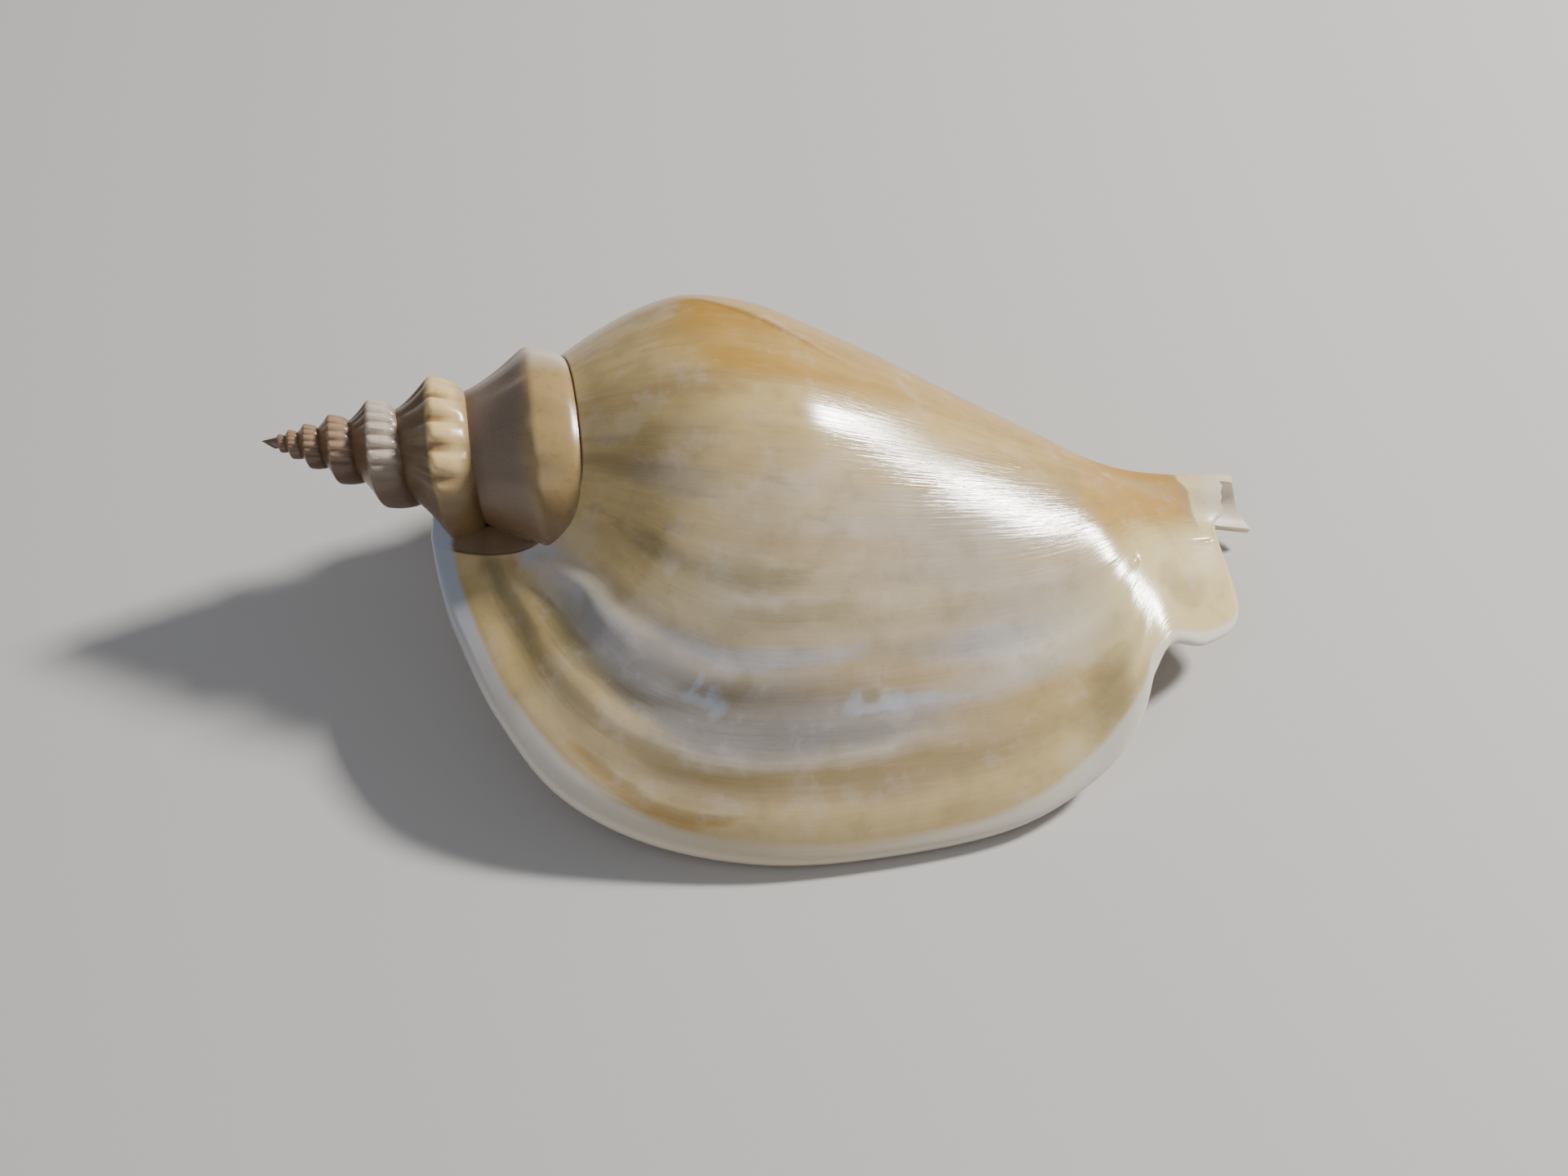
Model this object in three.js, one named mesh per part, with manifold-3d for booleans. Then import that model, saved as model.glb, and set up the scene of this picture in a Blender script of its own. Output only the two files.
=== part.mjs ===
import * as THREE from 'three';
import Module from 'manifold-3d';

// A swan conch shell, grown as one piece and lying with its opening down, in millimetres with +Z up.
// The tip of the spire points to -X, the canal to +X and the flared lip to -Y.
// A place on the shell is an angle round its axis, a distance out from it and a distance along it
// from the tip. The angle is in degrees, 0 at the back and growing towards the lip. A growth angle
// counts the whorls too: 0 is the back of the last whorl, and -360 the back of the one before it.

// How the spiral grows
const RADIUS_PER_WHORL = 1.54;
const DISTANCE_PER_WHORL = 1.58;
const SHOULDER_OUT = 11.7;
const SHOULDER_ALONG = 27.6;
const SHOULDER_GROWTH = -5;

// The suture between two whorls, as shares of the shoulder's distances
const SUTURE_OUT = { onSpire: 0.59, more: 0.05, perWhorl: 0.25 };
const SUTURE_ALONG = { onSpire: 0.875, more: -0.155, perWhorl: 0.66 };
const SUTURE_SETTLES_AT = 0.3;

// The spire's whorls lean towards the tip on the side that faces up, by this share of their radius
const SPIRE_LEANS = { by: 0.1, angle: 41, goneOver: [-230, -60] };

// The last whorl's stripes, from the suture to the end of the canal.
// whorl: distances out and along where the growth angle is SHOULDER_GROWTH
// lip: angle, distance out and distance along at the lip's edge
// flare: growth angle where the stripe starts to leave the plain spiral, and the power it rises with
const STRIPES = [
    { whorl: [7.5, 19.9], lip: [123, 5.7, 11.3], flare: [35, 3.2] },
    { whorl: [9.1, 22.2], lip: [117, 8.7, 12.0], flare: [30, 2.9] },
    { whorl: [10.6, 24.8], lip: [108.5, 12.8, 13.4], flare: [30, 2.6] },
    { whorl: [11.6, 27.6], lip: [105.5, 18.4, 16.2], flare: [30, 2.3] },
    { whorl: [11.8, 30.3], lip: [107.5, 23.2, 20.4], flare: [30, 2.2] },
    { whorl: [11.5, 33.4], lip: [109, 26.0, 26.6], flare: [28, 2.1] },
    { whorl: [10.3, 37.3], lip: [108, 27.05, 34.5], flare: [24, 2.2] },
    { whorl: [8.7, 41.6], lip: [106, 26.1, 42.7], flare: [17, 2.4] },
    { whorl: [7.0, 45.5], lip: [103.6, 24.2, 49.9], flare: [9, 2.4] },
    { whorl: [5.4, 49.3], lip: [100.1, 21.15, 54.8], flare: [2, 2.4] },
    { whorl: [4.0, 52.6], lip: [94.1, 18.1, 57.4], flare: [-2, 2.35] },
    { whorl: [2.9, 55.2], lip: [89.4, 15.4, 58.3], flare: [-1, 2.4] },
    { whorl: [2.3, 57.4], lip: [86.2, 13.2, 59.6], flare: [5, 2.6] },
    { whorl: [2.1, 59.6], lip: [90.8, 12.1, 62.3], flare: [12, 2.8] },
    { whorl: [2.15, 61.8], lip: [95.2, 8.9, 64.9], flare: [17, 2.6] },
    { whorl: [2.35, 64.2], lip: [86.5, 3.4, 63.4], flare: [20, 2.3] },
];
const LAST_STRIPE = STRIPES.length - 1;
const SHOULDER_STRIPE = 3;
const WHORL_GROWTH_STOPS = { radiusOver: [4, 14.5], distanceOver: [3, 14.5], distancePower: 0.8 };
const LEAST_DRIFT_POWER = 1.6;
const DRIFT_LAGS = 0.6;
const LIP_GROWTH = 110;

// On the flare a growth angle runs ahead of the angle round the axis by this many degrees
const WING_LEADS = { by: 9, rises: [20, 78], falls: [78, 110], starts: [0, 5], ends: [8, 13.5] };
const COLUMNS = [0, 1, 2, 3, 3.8, 4.6, 5.4, 6.2, 7, 8, 9, 10, 11, 12, 12.8, 13.6, 14.3, 15];

// The canal's broken end: growth angle and distance along, with a splinter beside the slit
const BROKEN_END = [
    [-175, 67.0], [-150, 66.5], [-130, 66.1], [-90, 65.7], [-58, 65.3], [-46, 64.7], [-38, 64.1],
    [-18, 64.0], [24, 64.0], [34, 63.9], [46, 64.1], [60, 64.0], [72, 63.6], [90, 63.3], [110, 63.4],
];

// The broad knob on the back of the last whorl
const KNOB = { growth: -38, halfAngle: 24, stripe: 3.6, halfStripes: 2, height: 0.45 };

// The last whorl's wall, its thick rolled rim and where it starts: under the lip, and past the slit
const WALL = 1.15;
const CANAL_WALL = 0.8;
const CANAL_THINS_OVER = [10, 13];
const RIM_EXTRA = { thickness: 0.75, growth: [88, 106], starts: [0, 2], ends: [10, 12.5] };
const RIM_LIFT = { height: 0.5, growth: [92, 108], starts: [0, 3], ends: [9, 12] };
const WALL_START = -250;
const SLIT = { angle: 75, over: [8.5, 13] };
const WALL_ROWS = 54;
const RIM_ANGLES = [90, 30, -30, -90];
const EDGE_SUNK = [1.8, 0.3];

// The spire and the column inside: steps round a whorl, rows across it, and the growth they span
const STEPS_PER_WHORL = 60;
const SPIRE_WHORLS_FROM = -5.6;
const COLUMN_END_GROWTH = -200;
const BURIED_OVER = 8;
const RAMP_ROWS = [0, 0.4, 0.75, 1];
const RAMP_HOLLOW_POWER = 1.4;
const WALL_FOOT_ROWS = [0.35, 0.7, 1];
const WALL_BULGE = 0.015;
const COLUMN_ROWS = [6, 7.5, 9, 10.3, 11.6];
const COLUMN_GAP = 0.4;
const COLUMN_THINS = { by: 0.45, over: [7, 12] };
const COLUMN_LEAN = { angle: 225, out: 1.3, over: [8, 12] };
const COLUMN_TIP_ALONG = 58;

// Ribs and knobs of the spire: whorls grown, ribs in a whorl, height as a share of the shoulder's
// radius, and the share of that height left at the foot of the whorl. They start by a share of a rib
// late, and are worn away between two angles, on the side that faces the lip.
const RIBS = [
    { whorl: -7, count: 19, height: 0.03, foot: 0.75 },
    { whorl: -4, count: 19, height: 0.045, foot: 0.75 },
    { whorl: -3.4, count: 22, height: 0.05, foot: 0.75 },
    { whorl: -2.8, count: 22, height: 0.055, foot: 0.75 },
    { whorl: -2.2, count: 16, height: 0.07, foot: 0.4 },
    { whorl: -2, count: 16, height: 0.07, foot: 0.25 },
    { whorl: -1.5, count: 16, height: 0.06, foot: 0.2 },
    { whorl: -1.15, count: 13, height: 0.028, foot: 0.12 },
    { whorl: -0.5, count: 13, height: 0, foot: 0.12 },
    { whorl: 1, count: 13, height: 0, foot: 0.12 },
];
const RIBS_LATE = 0.6;
const RIBS_WORN = { from: [50, 85], to: [225, 290] };
const RIB_STARTS_POWER = 1.5;
const RIB_FADES = 1.3;

// How the shell lies: the siphon's end drops by PITCH, and the lip's side by ROLL
const PITCH = 8.65;
const ROLL = -1.9;
const YAW = 0.99;

const wasm = await Module();
wasm.setup();

const radians = THREE.MathUtils.degToRad;
const ease = (from, to, value) => THREE.MathUtils.smoothstep(value, from, to);
const curve = (points) => new THREE.CatmullRomCurve3(points, false, 'catmullrom', 0.5);
const whorlCurve = curve(STRIPES.map(({ whorl }) => new THREE.Vector3(whorl[0], whorl[1], 0)));
const lipCurve = curve(STRIPES.map(({ lip }) => new THREE.Vector3(...lip)));
const flareCurve = curve(STRIPES.map(({ flare }) => new THREE.Vector3(flare[0], flare[1], 0)));

function whorlsGrown(growth) {
    return (growth - SHOULDER_GROWTH) / 360;
}

function growthAt(whorls) {
    return whorls * 360 + SHOULDER_GROWTH;
}

function place(angle, out, along) {
    const turned = radians(angle);
    return new THREE.Vector3(along, -out * Math.sin(turned), out * Math.cos(turned));
}

// A value read from a list of rows, on the straight line between the two rows beside it
function between(rows, at, key, value) {
    const next = rows.findIndex((row) => row[at] >= value);
    if (next === 0) return rows[0][key];
    if (next < 0) return rows[rows.length - 1][key];
    const before = rows[next - 1];
    const share = (value - before[at]) / (rows[next][at] - before[at]);
    return THREE.MathUtils.lerp(before[key], rows[next][key], share);
}

// A distance along the axis once the spire's lean is added
function leaning(growth, out, along) {
    const by = SPIRE_LEANS.by * (1 - ease(...SPIRE_LEANS.goneOver, growth));
    return along - by * out * Math.cos(radians(growth - SPIRE_LEANS.angle));
}

function onSpiral(growth) {
    const grown = whorlsGrown(growth);
    return {
        out: SHOULDER_OUT * RADIUS_PER_WHORL ** grown,
        along: SHOULDER_ALONG * DISTANCE_PER_WHORL ** grown,
    };
}

function shoulderAt(growth) {
    const { out, along } = onSpiral(growth);
    return { out, along: leaning(growth, out, along) };
}

// The suture before the spire's lean
function sutureOnSpiral(growth) {
    const settled = Math.min(whorlsGrown(growth), SUTURE_SETTLES_AT);
    const share = ({ onSpire, more, perWhorl }) => onSpire + more * perWhorl ** -settled;
    const { out, along } = onSpiral(growth);
    return { out: share(SUTURE_OUT) * out, along: share(SUTURE_ALONG) * along };
}

function sutureAt(growth) {
    const { out, along } = sutureOnSpiral(growth);
    return { out, along: leaning(growth, out, along) };
}

// The last whorl on its plain spiral. Towards the canal the column stops growing.
function plainWhorl(growth, stripe) {
    const grown = whorlsGrown(growth);
    const here = whorlCurve.getPoint(stripe / LAST_STRIPE);
    const { radiusOver, distanceOver, distancePower } = WHORL_GROWTH_STOPS;
    const radiusGrows = 1 - ease(...radiusOver, stripe);
    const distanceGrows = 1 - ease(...distanceOver, stripe) ** distancePower;
    const suture = sutureOnSpiral(growth);
    const [sutureOut, sutureAlong] = STRIPES[0].whorl;
    const atSuture = Math.max(0, 1 - stripe / SHOULDER_STRIPE) ** 2;
    const out = here.x * RADIUS_PER_WHORL ** (grown * radiusGrows)
        + (suture.out - sutureOut * RADIUS_PER_WHORL ** grown) * atSuture;
    const broken = between(BROKEN_END, 0, 1, growth) - STRIPES[LAST_STRIPE].whorl[1];
    const along = here.y * DISTANCE_PER_WHORL ** (grown * distanceGrows)
        + (suture.along - sutureAlong * DISTANCE_PER_WHORL ** grown) * atSuture
        + broken * Math.max(0, stripe - LAST_STRIPE + 1);
    return { out, along: leaning(growth, out, along) };
}

function knobHeight(growth, stripe) {
    const round = (growth - KNOB.growth) / KNOB.halfAngle;
    const down = (stripe - KNOB.stripe) / KNOB.halfStripes;
    return KNOB.height * Math.exp(-round * round - down * down);
}

// How much of a rim's feature there is, from 0 to 1
function alongRim(feature, growth, stripe) {
    const reached = ease(...feature.growth, growth);
    return reached * ease(...feature.starts, stripe) * (1 - ease(...feature.ends, stripe));
}

function wingLead(growth, stripe) {
    const reached = ease(...WING_LEADS.rises, growth) * (1 - ease(...WING_LEADS.falls, growth));
    const across = ease(...WING_LEADS.starts, stripe) * (1 - ease(...WING_LEADS.ends, stripe));
    return WING_LEADS.by * reached * across;
}

// The last whorl's outer face, which leaves the spiral and flares out to the lip's edge
function lastWhorl(growth, stripe) {
    const flare = flareCurve.getPoint(stripe / LAST_STRIPE);
    const lip = lipCurve.getPoint(stripe / LAST_STRIPE);
    const here = plainWhorl(growth, stripe);
    const atLip = plainWhorl(LIP_GROWTH, stripe);
    const share = Math.max(0, (growth - flare.x) / (LIP_GROWTH - flare.x));
    const rise = share ** flare.y;
    const drift = share ** Math.max(LEAST_DRIFT_POWER, flare.y - DRIFT_LAGS);
    return place(
        growth + wingLead(growth, stripe) + (lip.x - LIP_GROWTH) * drift,
        here.out + (lip.y - atLip.out) * rise + knobHeight(growth, stripe)
            + RIM_LIFT.height * alongRim(RIM_LIFT, growth, stripe),
        here.along + (lip.z - atLip.along) * drift,
    );
}

function growthDirection(growth, stripe) {
    const step = 0.5;
    return lastWhorl(growth, stripe).sub(lastWhorl(growth - step, stripe)).normalize();
}

function outwards(growth, stripe) {
    const step = 0.02;
    const from = Math.max(0, stripe - step);
    const to = Math.min(LAST_STRIPE, stripe + step);
    const across = lastWhorl(growth, to).sub(lastWhorl(growth, from));
    return growthDirection(growth, stripe).cross(across).normalize();
}

function wallThickness(growth, stripe) {
    const wall = THREE.MathUtils.lerp(WALL, CANAL_WALL, ease(...CANAL_THINS_OVER, stripe));
    return wall + RIM_EXTRA.thickness * alongRim(RIM_EXTRA, growth, stripe);
}

// A closed faceted body, filled with points and faces and then handed over as a solid
class Facets {
    constructor() {
        this.points = [];
        this.faces = [];
    }

    add(point) {
        this.points.push(point.x, point.y, point.z);
        return this.points.length / 3 - 1;
    }

    triangle(a, b, c) {
        this.faces.push(a, b, c);
    }

    quad(a, b, c, d) {
        this.triangle(a, b, c);
        this.triangle(a, c, d);
    }

    solid() {
        return new wasm.Manifold(new wasm.Mesh({
            numProp: 3,
            vertProperties: new Float32Array(this.points),
            triVerts: new Uint32Array(this.faces),
        }));
    }
}

// One closed loop of points along a stripe: out over the outer face, round the rim and back inside
function stripeLoop(stripe) {
    const start = WALL_START + SLIT.angle * ease(...SLIT.over, stripe);
    const outer = [];
    const inner = [];
    for (let row = 0; row < WALL_ROWS; row += 1) {
        const growth = THREE.MathUtils.lerp(start, LIP_GROWTH, row / WALL_ROWS);
        const point = lastWhorl(growth, stripe);
        const depth = wallThickness(growth, stripe);
        outer.push(point);
        inner.unshift(point.clone().addScaledVector(outwards(growth, stripe), -depth));
    }
    const half = wallThickness(LIP_GROWTH, stripe) / 2;
    const normal = outwards(LIP_GROWTH, stripe);
    const forward = growthDirection(LIP_GROWTH, stripe);
    const centre = lastWhorl(LIP_GROWTH, stripe);
    centre.addScaledVector(forward, -half).addScaledVector(normal, -half);
    const rim = RIM_ANGLES.map((angle) => {
        const turned = radians(angle);
        const point = centre.clone().addScaledVector(normal, half * Math.sin(turned));
        return point.addScaledVector(forward, half * Math.cos(turned));
    });
    return [...outer, ...rim, ...inner];
}

// The suture's edge, pulled in towards the axis so that it lies inside the whorl before it
function sunkLoop(loop, depth) {
    return loop.map((point) => {
        const out = Math.hypot(point.y, point.z);
        const share = (out - depth) / out;
        return new THREE.Vector3(point.x, point.y * share, point.z * share);
    });
}

function lastWhorlBody() {
    const body = new Facets();
    const [edge, ...visible] = COLUMNS.map(stripeLoop);
    const loops = [...EDGE_SUNK.map((depth) => sunkLoop(edge, depth)), ...visible];
    const ids = loops.map((loop) => loop.map((point) => body.add(point)));
    const length = ids[0].length;
    for (let column = 0; column + 1 < ids.length; column += 1) {
        for (let row = 0; row < length; row += 1) {
            const next = (row + 1) % length;
            const here = ids[column];
            const beside = ids[column + 1];
            body.quad(here[row], here[next], beside[next], beside[row]);
        }
    }
    for (let row = 0; row + 1 < length / 2; row += 1) {
        const back = length - 1 - row;
        const first = ids[0];
        const last = ids[ids.length - 1];
        body.quad(first[back], first[back - 1], first[row + 1], first[row]);
        body.quad(last[row], last[row + 1], last[back - 1], last[back]);
    }
    return body;
}

// How far round its ribs a whorl is, in turns of one rib
function ribPhase(whorls) {
    let phase = 0;
    for (let row = 1; row < RIBS.length; row += 1) {
        const from = RIBS[row - 1];
        const to = RIBS[row];
        const reach = Math.min(whorls, to.whorl);
        if (reach <= from.whorl) break;
        const here = between(RIBS, 'whorl', 'count', reach);
        phase += (reach - from.whorl) * (from.count + here) / 2;
    }
    return phase;
}

// The part of an inner whorl that stays uncovered, from its suture to the next one
function uncovered(growth) {
    const suture = sutureAt(growth);
    const shoulder = shoulderAt(growth);
    const next = sutureAt(growth + 360);
    const whorls = whorlsGrown(growth);
    const round = THREE.MathUtils.euclideanModulo(growth, 360);
    const worn = ease(...RIBS_WORN.from, round) * (1 - ease(...RIBS_WORN.to, round));
    const wave = Math.cos(2 * Math.PI * (ribPhase(whorls) - RIBS_LATE)) * (1 - worn);
    const rib = wave * between(RIBS, 'whorl', 'height', whorls) * shoulder.out;
    const foot = between(RIBS, 'whorl', 'foot', whorls);
    const buried = COLUMN_GAP * ease(WALL_START - BURIED_OVER, WALL_START, growth);
    const ramp = RAMP_ROWS.map((share) => place(
        growth,
        THREE.MathUtils.lerp(suture.out, shoulder.out, share ** RAMP_HOLLOW_POWER)
            + rib * share ** RIB_STARTS_POWER - buried,
        THREE.MathUtils.lerp(suture.along, shoulder.along, share),
    ));
    const wall = WALL_FOOT_ROWS.map((share) => {
        const bulge = WALL_BULGE * shoulder.out * Math.sin(Math.PI * share);
        const left = share < 1 ? THREE.MathUtils.lerp(1, foot, Math.min(1, share * RIB_FADES)) : 0;
        return place(
            growth,
            THREE.MathUtils.lerp(shoulder.out, next.out, share * share) + bulge + rib * left - buried,
            THREE.MathUtils.lerp(shoulder.along, next.along, share),
        );
    });
    return [...ramp, ...wall];
}

// Below that, the whorl that the last one hides, drawn in to the column
function column(growth) {
    return COLUMN_ROWS.map((stripe) => {
        const here = plainWhorl(growth, stripe);
        const thin = 1 - COLUMN_THINS.by * ease(...COLUMN_THINS.over, stripe);
        const lean = COLUMN_LEAN.out * ease(...COLUMN_LEAN.over, stripe);
        const point = place(growth, (here.out - COLUMN_GAP) * thin, here.along);
        return point.add(place(COLUMN_LEAN.angle, lean, 0));
    });
}

// The spire and the column: one band that winds on, its foot joined to the next whorl's suture
function spireBody() {
    const body = new Facets();
    const step = 360 / STEPS_PER_WHORL;
    const count = Math.round((COLUMN_END_GROWTH - growthAt(SPIRE_WHORLS_FROM)) / step);
    const lastTurn = count - STEPS_PER_WHORL;
    const foot = RAMP_ROWS.length + WALL_FOOT_ROWS.length - 1;
    const rows = [];
    for (let at = 0; at <= count; at += 1) {
        const growth = COLUMN_END_GROWTH - (count - at) * step;
        const band = uncovered(growth);
        const points = at < lastTurn ? band.slice(0, foot) : [...band, ...column(growth)];
        rows.push(points.map((point) => body.add(point)));
    }
    for (let at = 0; at <= lastTurn; at += 1) rows[at][foot] = rows[at + STEPS_PER_WHORL][0];
    const tip = body.add(new THREE.Vector3(0, 0, 0));
    const end = body.add(place(COLUMN_LEAN.angle, COLUMN_LEAN.out, COLUMN_TIP_ALONG));
    for (let at = 0; at < count; at += 1) {
        const here = rows[at];
        const next = rows[at + 1];
        const depth = at < lastTurn ? foot : here.length - 1;
        for (let row = 0; row < depth; row += 1) {
            body.quad(here[row], next[row], next[row + 1], here[row + 1]);
        }
        if (at >= lastTurn) body.triangle(here[depth], next[depth], end);
    }
    for (let at = 0; at < STEPS_PER_WHORL; at += 1) body.triangle(tip, rows[at + 1][0], rows[at][0]);
    for (let row = 0; row < foot; row += 1) body.triangle(tip, rows[0][row], rows[0][row + 1]);
    const inside = rows[lastTurn];
    const outside = rows[count];
    for (let row = 1; row < foot; row += 1) {
        body.triangle(outside[0], outside[row + 1], outside[row]);
    }
    for (let row = foot; row + 1 < outside.length; row += 1) {
        body.quad(inside[row], inside[row + 1], outside[row + 1], outside[row]);
    }
    body.triangle(inside[inside.length - 1], end, outside[outside.length - 1]);
    return body;
}

function shellGeometry() {
    const joined = spireBody().solid().add(lastWhorlBody().solid()).getMesh();
    const geometry = new THREE.BufferGeometry();
    geometry.setAttribute('position', new THREE.BufferAttribute(joined.vertProperties, joined.numProp));
    geometry.setIndex(new THREE.BufferAttribute(joined.triVerts, 1));
    const lie = new THREE.Euler(radians(ROLL), radians(PITCH), radians(YAW), 'ZYX');
    geometry.applyMatrix4(new THREE.Matrix4().makeRotationFromEuler(lie));
    geometry.computeBoundingBox();
    const { min, max } = geometry.boundingBox;
    geometry.translate(-(min.x + max.x) / 2, -(min.y + max.y) / 2, -min.z);
    return geometry;
}

const porcelain = new THREE.MeshStandardMaterial({ color: 0xd6c39c, roughness: 0.3, metalness: 0 });
const shell = new THREE.Mesh(shellGeometry(), porcelain);
shell.name = 'shell';

const group = new THREE.Group();
group.add(shell);

export default group;
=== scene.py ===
"""A swan conch shell lying on a pale floor, grown in Blender by the same rule as its solid."""
import math

import bpy
import numpy as np
from bpy.props import FloatProperty, FloatVectorProperty, PointerProperty
from mathutils import Matrix, Vector


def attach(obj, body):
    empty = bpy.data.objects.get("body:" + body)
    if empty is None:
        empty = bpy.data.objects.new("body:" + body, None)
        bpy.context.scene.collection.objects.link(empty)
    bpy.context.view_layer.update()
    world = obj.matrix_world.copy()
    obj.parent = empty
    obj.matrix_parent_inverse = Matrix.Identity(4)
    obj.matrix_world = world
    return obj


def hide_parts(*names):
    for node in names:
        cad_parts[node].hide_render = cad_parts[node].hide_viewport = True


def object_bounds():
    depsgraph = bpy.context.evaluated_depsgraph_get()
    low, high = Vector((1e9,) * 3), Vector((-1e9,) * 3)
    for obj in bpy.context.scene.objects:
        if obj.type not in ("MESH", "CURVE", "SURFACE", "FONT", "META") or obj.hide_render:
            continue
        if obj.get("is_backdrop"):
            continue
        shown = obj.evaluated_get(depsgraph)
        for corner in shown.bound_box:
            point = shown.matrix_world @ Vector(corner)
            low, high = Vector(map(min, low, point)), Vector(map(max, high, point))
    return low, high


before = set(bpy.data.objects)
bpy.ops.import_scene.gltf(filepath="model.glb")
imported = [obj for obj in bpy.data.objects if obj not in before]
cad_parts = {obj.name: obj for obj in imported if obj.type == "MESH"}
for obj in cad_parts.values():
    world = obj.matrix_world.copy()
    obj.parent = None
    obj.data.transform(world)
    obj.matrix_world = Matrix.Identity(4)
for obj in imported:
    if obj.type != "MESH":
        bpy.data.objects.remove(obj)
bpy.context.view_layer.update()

bl_info = {
    "name": "Swan Conch Shell",
    "version": (1, 0, 0),
    "blender": (4, 5, 0),
    "location": "3D View > Sidebar > Shell",
    "description": "Grows a swan conch shell round its axis and sets it on a studio floor",
    "category": "Add Mesh",
}

MM = 0.001
SHELL_NODE = "shell"

# A place on the shell is an angle round its axis in degrees, 0 at the back and growing towards the
# lip, with a distance out from the axis and a distance along it from the tip of the spire. A growth
# angle counts the whorls too: 0 is the back of the last whorl. Of two numbers that say where a
# feature lies, a change starts at the first and ends at the second, or a single form has its middle
# at the first and reaches as far as the second. Of four, it starts, is full, fades and is gone.

# How the spiral grows
RADIUS_PER_WHORL = 1.54
DISTANCE_PER_WHORL = 1.58
SHOULDER_OUT = 11.7 * MM
SHOULDER_ALONG = 27.6 * MM
SHOULDER_GROWTH = -5

# The suture between two whorls, as shares of the shoulder's distances: on the spire, what the last
# whorl adds, and the share of that which each earlier whorl keeps
SUTURE_OUT = (0.59, 0.05, 0.25)
SUTURE_ALONG = (0.875, -0.155, 0.66)
SUTURE_SETTLES_AT = 0.3

# The spire's whorls lean towards the tip on the side that faces up, by this share of their radius
SPIRE_LEANS = {"by": 0.1, "angle": 41, "gone_over": (-230, -60)}

# The last whorl's stripes, from the suture to the end of the canal, in millimetres and degrees:
# out and along on the whorl, then angle, out and along at the lip's edge, and then the growth angle
# where the stripe leaves the plain spiral and the power that it rises with
STRIPES = (
    (7.5, 19.9, 123, 5.7, 11.3, 35, 3.2),
    (9.1, 22.2, 117, 8.7, 12.0, 30, 2.9),
    (10.6, 24.8, 108.5, 12.8, 13.4, 30, 2.6),
    (11.6, 27.6, 105.5, 18.4, 16.2, 30, 2.3),
    (11.8, 30.3, 107.5, 23.2, 20.4, 30, 2.2),
    (11.5, 33.4, 109, 26.0, 26.6, 28, 2.1),
    (10.3, 37.3, 108, 27.05, 34.5, 24, 2.2),
    (8.7, 41.6, 106, 26.1, 42.7, 17, 2.4),
    (7.0, 45.5, 103.6, 24.2, 49.9, 9, 2.4),
    (5.4, 49.3, 100.1, 21.15, 54.8, 2, 2.4),
    (4.0, 52.6, 94.1, 18.1, 57.4, -2, 2.35),
    (2.9, 55.2, 89.4, 15.4, 58.3, -1, 2.4),
    (2.3, 57.4, 86.2, 13.2, 59.6, 5, 2.6),
    (2.1, 59.6, 90.8, 12.1, 62.3, 12, 2.8),
    (2.15, 61.8, 95.2, 8.9, 64.9, 17, 2.6),
    (2.35, 64.2, 86.5, 3.4, 63.4, 20, 2.3),
)
LAST_STRIPE = len(STRIPES) - 1
SHOULDER_STRIPE = 3
LIP_GROWTH = 110

# Towards the canal the whorl stops growing, over these stripes, and along the flare a stripe drifts
# with a lower power than it rises with
WHORL_GROWTH_STOPS = {"radius": (4, 14.5), "distance": (3, 14.5), "distance_power": 0.8}
LEAST_DRIFT_POWER = 1.6
DRIFT_LAGS = 0.6

# On the flare a growth angle runs ahead of the angle round the axis by this many degrees
WING_LEADS = {"by": 9, "growth": (20, 78, 78, 110), "stripes": (0, 5, 8, 13.5)}

# The canal's broken end: growth angles, and how far along the break lies there, in millimetres
BROKEN_END = (
    (-175, 67.0), (-150, 66.5), (-130, 66.1), (-90, 65.7), (-58, 65.3), (-46, 64.7), (-38, 64.1),
    (-28, 63.9), (-18, 64.1), (-8, 63.9), (2, 64.1), (14, 63.9), (24, 64.0), (34, 63.9), (46, 64.1),
    (60, 64.0), (72, 63.6), (90, 63.3), (110, 63.4),
)

# The last whorl's wall, its rolled rim and where it starts: under the lip, and past the slit
CANAL_WALL = 0.8 * MM
BROKEN_WALL = 0.45 * MM
CANAL_THINS_OVER = (10, 13)
BREAK_THINS = {"growth": (70, 100), "stripes": (13.4, 14.8)}
RIM_THICKENS = {"growth": (88, 106), "stripes": (0, 2, 10, 12.5)}
RIM_RISES = {"height": 0.5 * MM, "growth": (92, 108), "stripes": (0, 3, 9, 12)}
RIM_DEGREES_MOST = 12
WALL_START = -250
SLIT_ANGLE = 75
SLIT_OVER = (8.5, 13)

# The suture's edge is pulled in by the second of these, and one more loop by the first
EDGE_SUNK = 1.8 * MM
EDGE_SETTLES = 0.06 * MM

# The broad knob on the back: the middle of it and how far it reaches
KNOB = {"growth": (-38, 24), "stripes": (3.6, 2)}

# The fold where the lip once paused, with its hollow, and the groove inside the rim. Both wander by
# two waves: their size in degrees, how fast they turn along the stripes, and their start
LINES_WANDER = ((1.2, 1.9, 0.4), (0.5, 4.7, 1))
FOLD = {"at": 83.5, "reach": 4, "hollow": 0.6, "hollow_at": 90.5, "hollow_reach": 3,
        "stripes": (0.3, 1.2, 5.2, 7)}
GROOVE = {"at": 101.5, "reach": 2.4, "wanders": 0.4, "stripes": (0.8, 2.5, 9.5, 11.5)}

# The ripples: waves that turn along the growth and lean over the stripes, with their start and
# weight, and where they are high
RIPPLE_WAVES = ((0.62, 0.35, 0.2, 1), (0.93, -0.3, 1.9, 0.8), (0.37, 0.2, 5, 1.2))
RIPPLES = {"flare": (52, 80, 100, 106), "from_suture": (0.5, 1.5), "off_flare": 0.1, "canal": (9.5, 11),
           "back": (-90, -40)}

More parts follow.
